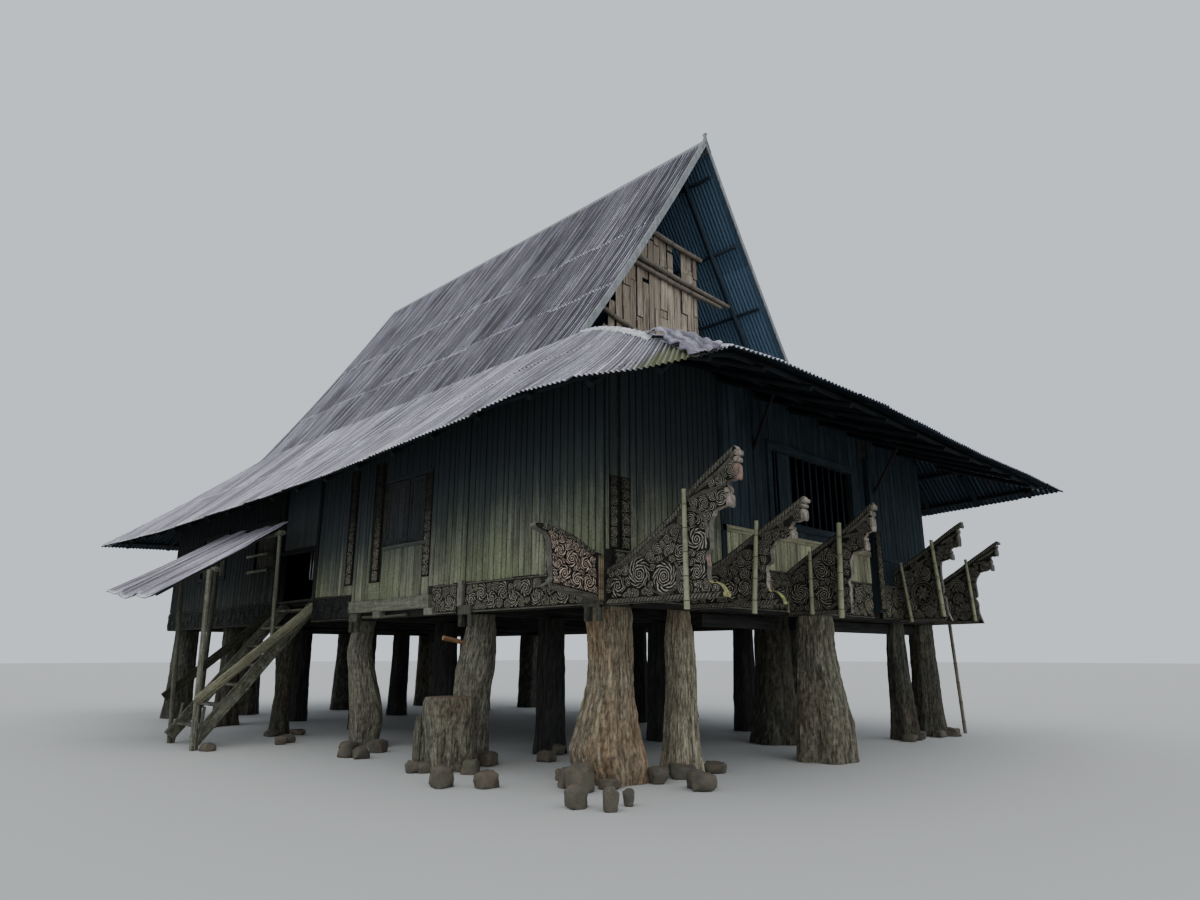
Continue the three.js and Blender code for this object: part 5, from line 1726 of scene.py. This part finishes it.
def wing_outline(wing):
    """The outline of one wing with the small rounded lobes of its curl and tip, and the part
    of the edge that each of its points belongs to."""
    toe, heel, neck = wing["toe"], wing["heel"], wing["neck"]
    chin, curled, notch, lobe, tip = (np.array(wing[k]) for k in (
        "chin", "curl", "notch", "lobe", "tip"))
    foot = [(toe, 0.010)]
    if toe - heel > LONG_FOOT:
        foot += [(toe - 0.012, 0.060), (toe - 0.050, 0.120), (toe - 0.110, 0.160),
                 (heel + 0.045, 0.150)]
    rise = chin[1] - 0.46
    crest = np.array(wing["top"][0])
    parts = [
        (TOP, [(0, 0)]), (FOOT, foot),
        (HEEL, [(heel + 0.005, 0.184), (heel, 0.263)]),
        (BROW, [(heel + 0.012, 0.334), (heel - 0.006, 0.405)]),
        (NECK, [(neck - 0.055, 0.446), (neck - 0.012, 0.462), (neck, 0.500),
                (neck - 0.006, 0.46 + 0.35 * rise), (neck - 0.015, 0.46 + 0.65 * rise)]),
        (CURL, [chin - (0.012, 0.030), chin, (curled[0] - 0.066, chin[1] + 0.022),
                curled - (0.012, 0.040), curled, curled + (-0.016, 0.045),
                curled + (-0.024, 0.066), curled + (0.006, 0.085)]),
        (NECK, [0.5 * (curled + (-0.01, 0.100) + notch), notch]),
        (TIP, [(lobe[0] - 0.055, notch[1] + 0.006), (lobe[0] - 0.012, notch[1] + 0.030), lobe,
               lobe + (-0.004, 0.060), lobe + (-0.026, 0.086), lobe + (-0.030, 0.096),
               0.5 * (lobe + (-0.02, 0.1) + tip) + (0.006, 0), tip - (0.020, 0.022), tip,
               0.4 * tip + 0.6 * crest + (0.012, 0.010)]),
        (TOP, wing["top"]),
    ]
    points = [tuple(p) for _, line in parts for p in line]
    kinds = [part for part, line in parts for _ in line]
    return scalloped(*rounded(points, (0, 1, len(points) - 1), kinds), (CURL, TIP))


# Carving that the scrolls are packed round: curls and blooms (out, up, radius) of each wing, and
# the long stems (out, up) of the first one
FIRST_CURLS = [(0.190, 0.190, 0.105), (0.500, 0.300, 0.165), (0.835, 0.250, 0.155),
               (1.262, 0.590, 0.115), (0.745, 0.525, 0.050), (0.905, 0.520, 0.055),
               (1.060, 0.470, 0.075), (1.120, 0.130, 0.062), (1.255, 0.270, 0.080),
               (1.480, 0.085, 0.040), (1.200, 0.775, 0.060), (1.580, 0.960, 0.062),
               (1.370, 0.930, 0.055), (1.690, 1.230, 0.050)]
WING_CURLS = {
    1: FIRST_CURLS,
    2: [(out * 0.83, up * 0.80, r * 0.82) for out, up, r in FIRST_CURLS[:9]]
       + [(1.46, 0.81, 0.055), (1.62, 0.99, 0.05)],
    3: [(0.24, 0.30, 0.15), (0.60, 0.27, 0.17), (0.82, 0.15, 0.08), (0.80, 0.52, 0.11),
        (0.46, 0.62, 0.10), (1.18, 0.94, 0.055)],
    5: [(0.30, 0.28, 0.17), (0.66, 0.30, 0.15), (0.62, 0.66, 0.12), (0.34, 0.62, 0.10)],
}
BLOOMS = {4: [(0.506, 0.479, 0.200)]}
FIRST_REACH = 1.79
FIRST_STEMS = [
    [(0.08, 0.370), (0.28, 0.420), (0.52, 0.520), (0.74, 0.655), (0.94, 0.750), (1.04, 0.740),
     (1.08, 0.660)],
    [(0.34, 0.465), (0.55, 0.485), (0.66, 0.575), (0.80, 0.660)],
    [(1.02, 0.850), (1.16, 0.900), (1.30, 0.850), (1.375, 0.740), (1.385, 0.640), (1.400, 0.530)],
    [(1.16, 0.980), (1.34, 1.040), (1.50, 1.060), (1.62, 1.070)],
    [(1.26, 1.060), (1.44, 1.160), (1.58, 1.240), (1.70, 1.330), (1.745, 1.400)],
    [(0.68, 0.110), (0.84, 0.075), (0.98, 0.140), (1.02, 0.280), (0.98, 0.380)],
]


def smooth_line(line, count=30):
    """A smooth curve of evenly spread points through the given ones."""
    line = np.asarray(line, float)
    knots = np.linspace(0, 1, len(line))
    at = np.linspace(0, 1, count)
    return np.stack([eased_curve(knots, line[:, i], at) for i in (0, 1)], axis=1)


def wing_stems(wing, outline):
    """The stems of the first wing, fitted under another wing's upper edge. They end where they
    come near its outline."""
    first_top = np.array(WINGS[0]["top"])[::-1]
    top = np.array(wing["top"])[::-1]
    stems = []
    for stem in FIRST_STEMS:
        line = []
        for out, up in stem:
            there = out / FIRST_REACH * wing["tip"][0]
            height = up / np.interp(out, first_top[:, 0], first_top[:, 1])
            line.append((there, height * np.interp(there, top[:, 0], top[:, 1])))
        line = smooth_line(line)
        line = line[edge_distance(line, outline) > 0.020]
        if len(line) > 8:
            stems.append(line)
    return stems


def guard_circles(border, foot_end, stems):
    """Circles that keep the scrolls off the borders and the stems."""
    guards = [(u, v, 0.030) for u, v in border[::2]]
    guards += [(u, 0.036, 0.030) for u in np.arange(0.02, foot_end, 0.04)]
    for line in stems:
        guards += [(u, v, 0.016) for u, v in line[::2]]
    return np.array(guards)


def fitted_curls(number, outline, guards):
    """The curls of a wing, made smaller where they would touch something else."""
    curls = []
    for u, v, radius in WING_CURLS.get(number, []):
        space = float(edge_distance([(u, v)], outline)[0]) - 0.014
        for a, b, r in curls + guards.tolist():
            space = min(space, math.hypot(u - a, v - b) - r - 0.004)
        if space > 0.024:
            curls.append((u, v, min(radius, space)))
    return curls


def circle_line(u, v, radius, count):
    """A circle as a line of points."""
    turn = np.linspace(0, 2 * math.pi, count)
    return np.stack([u + radius * np.cos(turn), v + radius * np.sin(turn)], axis=1)


def rosette(shape, panel, u, v, radius, height):
    """A round flower inside a double ring."""
    for share, width in ((0.93, 0.13), (0.72, 0.10)):
        ring = circle_line(u, v, share * radius, 37)
        ribbon(shape, panel, ring, width * radius, height, 0.55, 1)
    for k in range(8):
        turn = 2 * math.pi * k / 8
        s = np.linspace(0.12, 0.60, 5) * radius
        swing = turn + 0.5 * s / radius
        petal = np.stack([u + s * np.cos(swing), v + s * np.sin(swing)], axis=1)
        width = 0.24 * radius * np.array([0.5, 0.9, 1.0, 0.8, 0.3])
        ribbon(shape, panel, petal, width, height, 0.5, 1)
    knob(shape, panel, u, v, 0.12 * radius, height, 0.7, 1)


def lobe_rolls(shape, wing, panel, plain, painted):
    """The rolls that end the curl and the tip, a little wider than the board."""
    turn = np.linspace(0, 2 * math.pi, 20, endpoint=False)
    chin, notch, crown = wing["chin"][1], wing["notch"][1], wing["tip"][1] + 0.015
    curled, lobe, tip = wing["curl"][0], wing["lobe"][0], wing["tip"][0]
    rolls = [(chin, notch, 0.03, 0.53, curled, plain),
             (chin, notch, 0.58, 0.78, curled - 0.012, plain),
             (notch, crown, 0.03, 0.55, lobe, painted),
             (notch, crown, 0.59, 0.77, lobe + 0.006, plain),
             (notch, crown, 0.81, 1.0, tip, plain)]
    for low, high, start, end, front, kind in rolls:
        bottom, top = low + start * (high - low), low + end * (high - low)
        deep, tall = 0.5 * min(0.046, top - bottom), 0.5 * (top - bottom)
        u = front + 0.005 - deep + deep * np.sign(np.cos(turn)) * np.abs(np.cos(turn)) ** 0.7
        v = bottom + tall + tall * np.sign(np.sin(turn)) * np.abs(np.sin(turn)) ** 0.7
        plate(shape, panel, np.stack([u, v], axis=1), 0.118, 0.010, kind, kind)


def front_wing(number, wing):
    """A carved beam end at the front: the board, its rolls, stems, scrolls and borders."""
    dice = random.Random("wing %d" % number)
    shape = Shape()
    x = wing["x"]
    outline, parts = wing_outline(wing)
    finishes = sorted(set(EDGE_FINISHES[number]))
    edges = [3 + finishes.index(EDGE_FINISHES[number][part]) for part in parts]
    origin = (x, WING_ROOT, BEAM_BOTTOM)
    middle = Panel(origin, (0, -1, 0), (0, 0, 1), (-1, 0, 0))
    plate(shape, middle, outline, 0.070, 0.006, 0, edges)
    plain = 3 + finishes.index(EDGE_FINISHES[number][TIP])
    lobe_rolls(shape, wing, middle, plain, 3 + finishes.index("pink") if number == 1 else plain)
    top = list(wing["top"])[::-1]
    border = smooth_line([(u + 0.020, v - 0.034) for u, v in top], 60)
    brim = smooth_line([(u + 0.036, v - 0.060) for u, v in top], 20)
    foot_end = wing["toe"] - 0.06
    foot = [(0.02, 0.036), (foot_end, 0.038)]
    stems = wing_stems(wing, outline)
    guards = guard_circles(border, foot_end, stems)
    first = fitted_curls(number, outline, guards)
    blooms = BLOOMS.get(number, [])
    walls = [fence(brim), fence([(0.0, 0.062), (wing["toe"], 0.064)])]
    walls += [fence(circle_line(*bloom, 29)) for bloom in blooms]
    for side in (-1, 1):
        face = Panel((x + side * 0.035, origin[1], origin[2]), (0, -1, 0), (0, 0, 1), (side, 0, 0))
        for line in stems:
            share = np.linspace(0, 1, len(line))
            width = 0.040 * np.interp(share, [0, 0.15, 0.8, 1], [0.5, 1, 0.9, 0.35])
            ribbon(shape, face, line, width, 0.025, 0.58, 1)
        for u, v, radius in blooms:
            rosette(shape, face, u, v, radius, 0.020)
        carve(shape, face, outline, dice, RADII, 0.019, 0.012, first, 2, 420,
              np.vstack([guards, *blooms]), walls)
        rope(shape, face, border, 0.054, 0.015, 0.044, 1)
        rope(shape, face, foot, 0.050, 0.015, 0.044, 1)
    if number == 1:
        # The cut end of the toe keeps its yellow paint
        toe = WING_ROOT - wing["toe"]
        box(shape, (x - 0.045, toe + 0.002, BEAM_BOTTOM + 0.014),
            (x + 0.045, toe + 0.030, BEAM_BOTTOM + 0.060), 0.8, 0.008, dice,
            3 + finishes.index("yellow"))
    piece("carved_wing_%d" % number, shape,
          [hollow_shade_wood, carved_wood, scroll_wood] + [FINISHES[name] for name in finishes],
          ["wing_front_%d" % number], 35)


for number, wing in enumerate(WINGS, 1):
    front_wing(number, wing)


# The wings at the two front corners: outline, field of the carving, curls and crest (out, up)
SIDE_WING = [(0, 0.04), (0.88, 0.15), (0.735, 0.225), (0.765, 0.36), (0.78, 0.60), (0.82, 0.69),
             (1.0, 0.735), (1.0, 0.80), (0.83, 0.795), (0.47, 0.73), (0.15, 0.575), (0, 0.545)]
SIDE_FIELD = np.array([(0.10, 0.105), (0.745, 0.190)] + SIDE_WING[3:6] + [
    (0.93, 0.745), (0.66, 0.715), (0.48, 0.660), (0.30, 0.580), (0.14, 0.500)])
SIDE_CURLS = [(0.24, 0.22, 0.085), (0.42, 0.24, 0.080), (0.60, 0.30, 0.085), (0.30, 0.42, 0.080),
              (0.50, 0.46, 0.085), (0.66, 0.52, 0.070)]
side_crown = smooth_line([(0.13, 0.535), (0.30, 0.610), (0.48, 0.690), (0.66, 0.735),
                          (0.82, 0.765), (0.95, 0.770)])
side_crest = np.array([(u - 0.01, v + 0.024) for u, v in side_crown[::3]]
                      + [(u + 0.01, v - 0.050) for u, v in side_crown[::-3]])
for name, side in (("left", -1), ("right", 1)):
    dice = random.Random("side wing " + name)
    shape = Shape()
    outline, _ = rounded(SIDE_WING, (0, 1, 11))
    middle = (side * 4.302, -6.895, BEAM_BOTTOM)
    plate(shape, Panel(middle, (side, 0, 0), (0, 0, 1), (0, -1, 0)), outline, 0.086, 0.009, 0, 2)
    for face_side in (-1, 1):
        face = Panel((side * 4.302, -6.895 + face_side * 0.043, BEAM_BOTTOM), (side, 0, 0),
                     (0, 0, 1), (0, face_side, 0))
        carve(shape, face, SIDE_FIELD, dice, RADII[3:], 0.024, 0.004, SIDE_CURLS, 3, 420)
        rope(shape, face, [(0.11, 0.082), (0.83, 0.170)], 0.052, 0.016, 0.036, 1)
        carve(shape, face, side_crest, dice, SMALL_RADII[1:], 0.028, 0.002, (), 5, 300)
        ribbon(shape, face, [(0.045, 0.05), (0.045, 0.3), (0.045, 0.53)], 0.085, 0.012, 0.7, 4)
    piece("carved_side_wing_" + name, shape,
          [hollow_shade_wood, carved_wood, FINISHES["edge"], scroll_red, ochre_wood, scroll_wood],
          ["wing_side_" + name], 35)


# Posts that are tree trunks
POSTS = {
    # foot x, foot y, seed, and rings of height, radius and shift
    "post_corner_front_left": (-3.75, -6.47, 1.2, [
        (0, 0.375, 0.045, -0.045), (0.10, 0.396, 0.03, -0.03), (0.27, 0.418),
        (0.47, 0.378, -0.008, 0.008), (0.74, 0.318),
        (1.05, 0.265, 0.015, -0.015), (1.36, 0.264, 0.014, -0.014), (1.88, 0.272), (2.19, 0.270)]),
    "post_front_2": (-2.62, -6.6, 2.4, [
        (0, 0.265), (0.2, 0.235), (0.6, 0.205), (1.15, 0.185, 0.02), (1.55, 0.175), (1.88, 0.135),
        (2.19, 0.13)]),
    "post_front_3": (-0.48, -7.23, 0.5, [
        (0, 0.392, 0.065, -0.066), (0.27, 0.384, 0.062, -0.063), (0.52, 0.372, 0.059, -0.060),
        (1.00, 0.304, 0.040, -0.041), (1.36, 0.262, 0.027, -0.028), (1.88, 0.225, 0.036, -0.036)]),
    "post_inner_front": (1.0, -5.65, 4.1, [
        (0, 0.42), (0.3, 0.37), (0.9, 0.31), (1.5, 0.29), (2.19, 0.27)]),
    "post_front_4": (2.9, -6.87, 3.3, [
        (0, 0.24, 0.06), (0.25, 0.21, 0.04), (0.8, 0.18, 0.01), (1.5, 0.16), (1.88, 0.14)]),
    "post_front_5": (3.96, -6.87, 5.0, [
        (0, 0.30), (0.25, 0.265), (0.8, 0.23), (1.4, 0.215), (1.88, 0.205)]),
    "post_left_2": (-3.95, -4.23, 0.0, [
        (0, 0.240, -0.028, 0.028), (0.30, 0.236, -0.027, 0.028), (0.87, 0.236, -0.025, 0.025),
        (1.36, 0.234, 0.013, -0.014), (1.62, 0.205, 0.030, -0.031), (1.88, 0.172, 0.042, -0.042)]),
    "post_left_3": (-3.95, -1.35, 1.7, [
        (0, 0.210, 0.045, -0.045), (0.15, 0.225, 0.048, -0.048), (0.44, 0.251, 0.051, -0.052),
        (0.74, 0.236, 0.018, -0.018), (1.10, 0.204, -0.032, 0.032), (1.43, 0.185, -0.069, 0.070),
        (1.77, 0.163, -0.049, 0.050), (1.88, 0.165, -0.040, 0.040)]),
    "post_left_4": (-3.95, 1.35, 3.4, [
        (0, 0.178, -0.050, 0.050), (0.14, 0.162, -0.051, 0.052), (0.58, 0.138, -0.051, 0.052),
        (1.10, 0.155, -0.051, 0.052), (1.50, 0.180, -0.052, 0.053), (1.88, 0.182, -0.045, 0.045)]),
    "post_left_5": (-3.95, 4.05, 5.1, [
        (0, 0.27), (0.3, 0.23), (0.9, 0.20), (1.5, 0.19), (1.88, 0.19)]),
}
POST_WOODS = {
    "post_corner_front_left": trunk_red, "post_front_2": trunk_yellow,
    "post_front_3": trunk_green, "post_left_2": trunk_wood, "post_left_3": trunk_wood,
}


def plain_rings(base, top, height=1.88):
    """The rings of a trunk that narrows evenly from its foot."""
    return [(0, base), (0.12 * height, base * 0.93), (0.35 * height, (base + top) / 2),
            (0.65 * height, top * 1.06), (height, top)]


POSTS["post_corner_rear_left"] = (-3.95, 6.72, 6.1, plain_rings(0.31, 0.24))
POSTS["post_corner_rear_right"] = (3.95, 6.72, 7.3, plain_rings(0.31, 0.24))
FAR_POSTS = ("post_left_4", "post_left_5", "post_corner_rear_left", "post_corner_rear_right",
             "post_front_4", "post_inner_front")
for name, (x, y, seed, rings) in POSTS.items():
    shape = Shape()
    small = name in FAR_POSTS
    furrow = 0.026 if name in ("post_corner_front_left", "post_front_3") else 0.018
    trunk(shape, x, y, rings, seed, 72 if small else 116, 40 if small else 76, furrow)
    piece("trunk_" + name[5:], shape, [POST_WOODS.get(name, trunk_grey)], [name], 60)


def cut_stump():
    shape = Shape()
    rings = [(0, 0.31), (0.15, 0.325), (0.48, 0.318), (0.80, 0.322), (0.85, 0.312)]
    trunk(shape, -4.455, -4.405, rings, 2.2, 150, 56, 0.018, cap=1)
    # A slab of bark that stands on its own beside the trunk
    slab = [(0.0, 0.055), (0.30, 0.060), (0.50, 0.055), (0.62, 0.030)]
    trunk(shape, -4.765, -4.185, slab, 5.4, 40, 26, 0.014)
    piece("cut_trunk_stump", shape, [trunk_green, stump_top], ["cut_trunk"], 60)


cut_stump()


INNER_POSTS_X = (-2.46, 0.0, 2.46)


def inner_rows():
    """The girders, the floor joists and the trunks that stand under them."""
    lines = (-4.05, -1.35, 1.35, 4.05)
    for i, y in enumerate(lines):
        dice = random.Random("girder %d" % i)
        shape = Shape()
        bar(shape, (-4.178, y, 2.034), (4.178, y, 2.034), 0.218, 0.305, 0.5, UPWARD, 6,
            0.004, 0.03, dice)
        for k, x in enumerate(INNER_POSTS_X):
            trunk(shape, x, y, plain_rings(0.235, 0.19, 1.885), 2 * i + k, 48, 24, 0.016)
        piece("girder_trunks_%d" % (i + 1), shape, [trunk_dark], ["girder_row_%d" % (i + 1)],
              50)
    dice = random.Random("right row")
    shape = Shape()
    bar(shape, (4.24, -6.95, 2.075), (4.24, 6.95, 2.075), 0.12, 0.39, 0.5, UPWARD, 8, 0.0, 0.01,
        dice)
    for i, y in enumerate(lines):
        trunk(shape, 4.02, y, plain_rings(0.30, 0.25, 1.885), 3 + i, 48, 24, 0.018)
    piece("right_beam_trunks", shape, [trunk_grey], ["right_beam_and_posts"], 50)
    shape = Shape()
    bar(shape, (-4.178, 6.89, 2.075), (4.178, 6.89, 2.075), 0.12, 0.39, 0.5, UPWARD, 6, 0.0,
        0.01, dice)
    for i, x in enumerate(INNER_POSTS_X):
        trunk(shape, x, 6.72, plain_rings(0.30, 0.23, 1.885), 9 + i, 48, 24, 0.018)
    piece("rear_beam_trunks", shape, [trunk_grey], ["rear_beam_and_posts"], 50)
    shape = Shape()
    for x in np.arange(-3.9, 4.0, 0.6):
        for low, high in ((-6.80, -4.17), (-3.93, -1.47), (-1.23, 1.23), (1.47, 3.93),
                          (4.17, 6.80)):
            rod(shape, [(x, low, 2.13), (x, high, 2.13)], 0.045, 7, 0.4, dice, rough=0.08)
    piece("floor_joists", shape, [dark_timber], (), 50)


inner_rows()


# Bamboo poles
def bamboo_poles():
    dice = random.Random("poles")
    # wing, radius in the part, foot (y, z), top (y, z), radius shown at the foot and at the top
    poles = {
        "bamboo_wing_1": (0, 0.027, (-8.095, 1.79), (-8.095, 2.985), (0.030, 0.023)),
        "bamboo_wing_2": (1, 0.027, (-7.972, 1.80), (-8.055, 2.825), (0.030, 0.023)),
        "bamboo_wing_3": (2, 0.038, (-7.80, 1.83), (-7.86, 3.09), (0.040, 0.034)),
        "bamboo_wing_3_thin": (2, 0.030, (-7.37, 1.89), (-7.39, 2.745), (0.032, 0.025)),
        "bamboo_wing_4": (3, 0.038, (-7.784, 1.96), (-7.703, 3.22), (0.036, 0.029)),
        "bamboo_wing_4_lean": (3, 0.038, (-7.249, 1.89), (-7.146, 2.88), (0.030, 0.025)),
        "bamboo_wing_5": (4, 0.038, (-7.775, 1.93), (-7.722, 3.01), (0.030, 0.025)),
    }
    for name, (wing, stand_off, foot, top, radius) in poles.items():
        shape = Shape()
        x = WINGS[wing]["x"] - 0.0553 - stand_off
        rod(shape, [(x, *foot), (x, 0.5 * (foot[0] + top[0]), 0.5 * (foot[1] + top[1])), (x, *top)],
            radius, 16, 0.5, dice, joints=dice.uniform(0.22, 0.34))
        piece(name + "_culm", shape, [bamboo_pale], [name], 40)
    shape = Shape()
    rod(shape, [(4.75, -7.16, 0.0), (5.09, -6.95, 2.16)], 0.032, 16, 0.5, dice, joints=0.34)
    piece("bamboo_ground_prop_culm", shape, [bamboo_dull], ["bamboo_ground_prop"], 40)
    shape = Shape()
    x = WINGS[2]["x"] - 0.085
    rod(shape, [(x, -7.00, 1.886), (x, -6.985, 2.35)], 0.022, 12, 0.5, dice, joints=0.3)
    piece("bamboo_stubs", shape, [bamboo_pale], (), 40)
    shape = Shape()
    rod(shape, [(-4.05, -4.20, 1.50), (-4.47, -4.20, 1.572)], 0.030, 14, 0.5, dice)
    piece("beam_peg", shape, [peg_wood], (), 40)
    # Thin struts from the front wall out to the eave
    shape = Shape()
    for start, end in (((-1.31, -6.97, 4.17), (-1.31, -7.34, 4.90)),
                       ((2.15, -6.97, 3.88), (2.15, -7.62, 4.84))):
        rod(shape, [start, end], 0.026, 8, 0.6, dice, rough=0.05)
    piece("eave_struts", shape, [dark_timber], (), 50)


bamboo_poles()


# Stairs and their canopy
def stairs():
    dice = random.Random("stairs")
    shape = Shape()
    top, foot = (-4.19, 2.213), (-5.89, 0.12)
    for y, tone in ((0.03, 0.62), (1.13, 0.4)):
        bar(shape, (foot[0], y, foot[1]), (top[0], y, top[1]), 0.058, 0.19, tone, UPWARD, 5,
            0.004, 0.008, dice)
    for i in range(1, 8):
        z = 0.3 * i
        x = -5.89 + (z - 0.04) * (1.89 / 2.417)
        box(shape, (x - 0.115, 0.065, z - 0.018), (x + 0.105, 1.095, z + 0.018),
            dice.uniform(0.3, 0.6), 0.006, dice)
    piece("stair_planks", shape, [stair_wood], ["stairs"], 30)


stairs()


def canopy_top(x, y):
    """Height of the canopy's sheets."""
    up = (x + 6.75) / 1.95
    near = 2.165 + 1.335 * up
    far = 2.340 + 1.220 * up
    return near + (far - near) * y / 2.7


def canopy():
    dice = random.Random("canopy")
    shape = Shape()

    def place(s, a):
        s, a = matched(s, a)
        x = -4.78 - 1.97 * s
        sag = 0.06 * np.sin(np.pi * s) * (0.5 + 0.5 * np.cos(a * 2.3))
        ripple = 0.018 * np.sin(7 * a + 2 * s)
        return np.stack([x, a, canopy_top(x, a) - 0.5 * sag + ripple + 0.008], axis=-1)

    def ragged_edge(a, s):
        """The bent and torn near edge."""
        bite = np.sin(11.0 * s) + 0.6 * np.sin(27.0 * s + 1.0) + 0.4 * np.sin(51.0 * s)
        return 0.022 * bite * np.exp(-np.maximum(a, 0.0) / 0.15)

    course(shape, place, -0.01, 0.92, lambda a: 0.0, lambda a: 0.985, 40, dice, 0.010, ragged_edge,
           tone=0.66)
    course(shape, place, 0.85, 1.84, lambda a: 0.03, lambda a: 0.995, 12, dice, 0.0, tone=0.45)
    course(shape, place, 1.76, 2.71, lambda a: 0.0, lambda a: 0.98, 12, dice, 0.010, tone=0.55)
    piece("canopy_sheets", shape, [iron_canopy, iron_underside_in_shade], ["canopy_roof"], 80)

    shape = Shape()
    top = canopy_top

    def lean(foot, head, radius, tone):
        """A post from its foot up to the underside of the sheets."""
        rod(shape, [foot, (*head, top(*head) - 0.03)], radius, 12, tone, dice, rough=0.05)

    lean((-5.950, -0.120, 0.0), (-6.010, -0.080), (0.044, 0.036), 0.8)
    lean((-5.830, 1.250, 0.0), (-5.985, 1.220), (0.040, 0.035), 0.4)
    lean((-4.960, -0.150, 1.55), (-4.960, -0.060), 0.032, 0.5)
    lean((-4.960, 2.600, 0.0), (-4.960, 2.560), (0.045, 0.040), 0.4)
    for foot, head in (((-5.890, -0.095, 0.0), (-5.835, -0.075, 0.61)),
                       ((-5.785, 1.225, 0.0), (-5.715, 1.215, 0.61))):
        rod(shape, [foot, head], 0.024, 10, 0.6, dice, rough=0.05)
    for x in (-5.94, -4.96):
        rod(shape, [(x, -0.2, top(x, -0.2) - 0.075), (x, 2.75, top(x, 2.75) - 0.075)], 0.040, 10,
            0.5, dice, rough=0.04)
    for y in (0.25, 1.35, 2.45):
        rod(shape, [(-6.62, y, top(-6.62, y) - 0.035), (-4.85, y, top(-4.85, y) - 0.035)], 0.022, 8,
            0.4, dice, rough=0.05)
    for y, tone in ((-0.165, 0.85), (1.29, 0.1)):
        bar(shape, (-5.99, y, 0.70), (-4.25, y, 2.194), 0.050, 0.14, tone, UPWARD, 4, 0.003,
            0.012, dice, 1)
    piece("canopy_poles", shape, [pole_wood, rail_wood], ["canopy_frame"], 45)


canopy()


# Boulders round the foot of the posts
def ball():
    mesh = bmesh.new()
    bmesh.ops.create_icosphere(mesh, subdivisions=3, radius=1.0)
    points = np.array([v.co for v in mesh.verts])
    faces = [[v.index for v in face.verts] for face in mesh.faces]
    mesh.free()
    return points, faces


BOULDERS = [
    # x, y, half width and height of each stone; groups run round one post each
    (-4.349, -6.425, 0.087, 0.20), (-4.461, -6.732, 0.140, 0.27), (-5.068, -7.325, 0.100, 0.20),
    (-4.950, -7.656, 0.080, 0.20), (-4.654, -7.603, 0.064, 0.14), (-4.083, -6.807, 0.108, 0.10),
    (-3.457, -6.943, 0.098, 0.18), (-3.463, -7.537, 0.156, 0.19), (-3.980, -6.020, 0.110, 0.13),
    (-4.813, -4.421, 0.082, 0.12), (-4.663, -4.527, 0.115, 0.18), (-5.265, -5.449, 0.131, 0.20),
    (-4.482, -4.583, 0.091, 0.14), (-4.476, -4.889, 0.105, 0.16), (-3.884, -4.458, 0.122, 0.18),
    (-4.951, -5.841, 0.116, 0.17), (-4.893, -4.316, 0.099, 0.13), (-3.097, -4.713, 0.109, 0.15),
    (-2.511, -4.286, 0.097, 0.14), (-4.717, -2.402, 0.116, 0.20), (-4.666, -2.681, 0.105, 0.15),
    (-4.125, -2.184, 0.129, 0.17), (-4.677, -0.208, 0.093, 0.13), (-4.461, -0.015, 0.096, 0.12),
    (-4.230, -1.520, 0.120, 0.11), (-3.760, -1.650, 0.110, 0.10), (-2.980, -6.900, 0.150, 0.15),
    (-2.360, -6.900, 0.120, 0.13), (3.180, -6.980, 0.130, 0.13), (2.700, -7.050, 0.120, 0.11),
    (4.080, -7.180, 0.140, 0.14), (3.720, -7.120, 0.110, 0.11), (-4.230, 1.150, 0.110, 0.11),
    (-3.800, 1.060, 0.110, 0.10), (-4.240, 3.820, 0.130, 0.11), (-5.800, -0.300, 0.100, 0.11),
]


def boulders():
    points, faces = ball()
    shape = Shape()
    for number, (x, y, wide, tall) in enumerate(BOULDERS):
        dice = random.Random(number)
        turn, squat = dice.uniform(0, math.pi), dice.uniform(0.78, 1.0)
        c, s = math.cos(turn), math.sin(turn)
        spots = []
        for p in points:
            rough = 1 + 0.34 * noise.noise(Vector(p * 1.3) + Vector((number * 5.1, 0, 0)))
            rough += 0.13 * noise.noise(Vector(p * 3.4) + Vector((0, number * 3.7, 0)))
            rough += 0.05 * abs(noise.noise(Vector(p * 8.0) + Vector((0, 0, number * 2.3))))
            u, v, w = np.sign(p) * np.abs(p) ** 0.62 * rough
            u, v = u * wide, v * wide * squat
            z = max(0.0, tall * (0.42 + 0.56 * w))
            spots.append((x + c * u - s * v, y + s * u + c * v, z))
        shape.add(spots, faces, None, dice.uniform(0.2, 0.8))
    piece("post_boulders", shape, [rock], (), 60)


boulders()


# The part's own meshes that stay
def finish_node(name, material):
    """Gives a mesh of the part itself its material."""
    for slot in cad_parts[name].material_slots:
        slot.material = material


for name in ("left_wall_front", "left_wall_over_door", "left_wall_rear", "right_wall", "front_wall",
             "rear_wall", "floor", "left_beam_front", "left_beam_rear", "front_beam", "ridge_pole"):
    finish_node(name, inner_wood)
finish_node("gable_wall_rear", rear_gable)
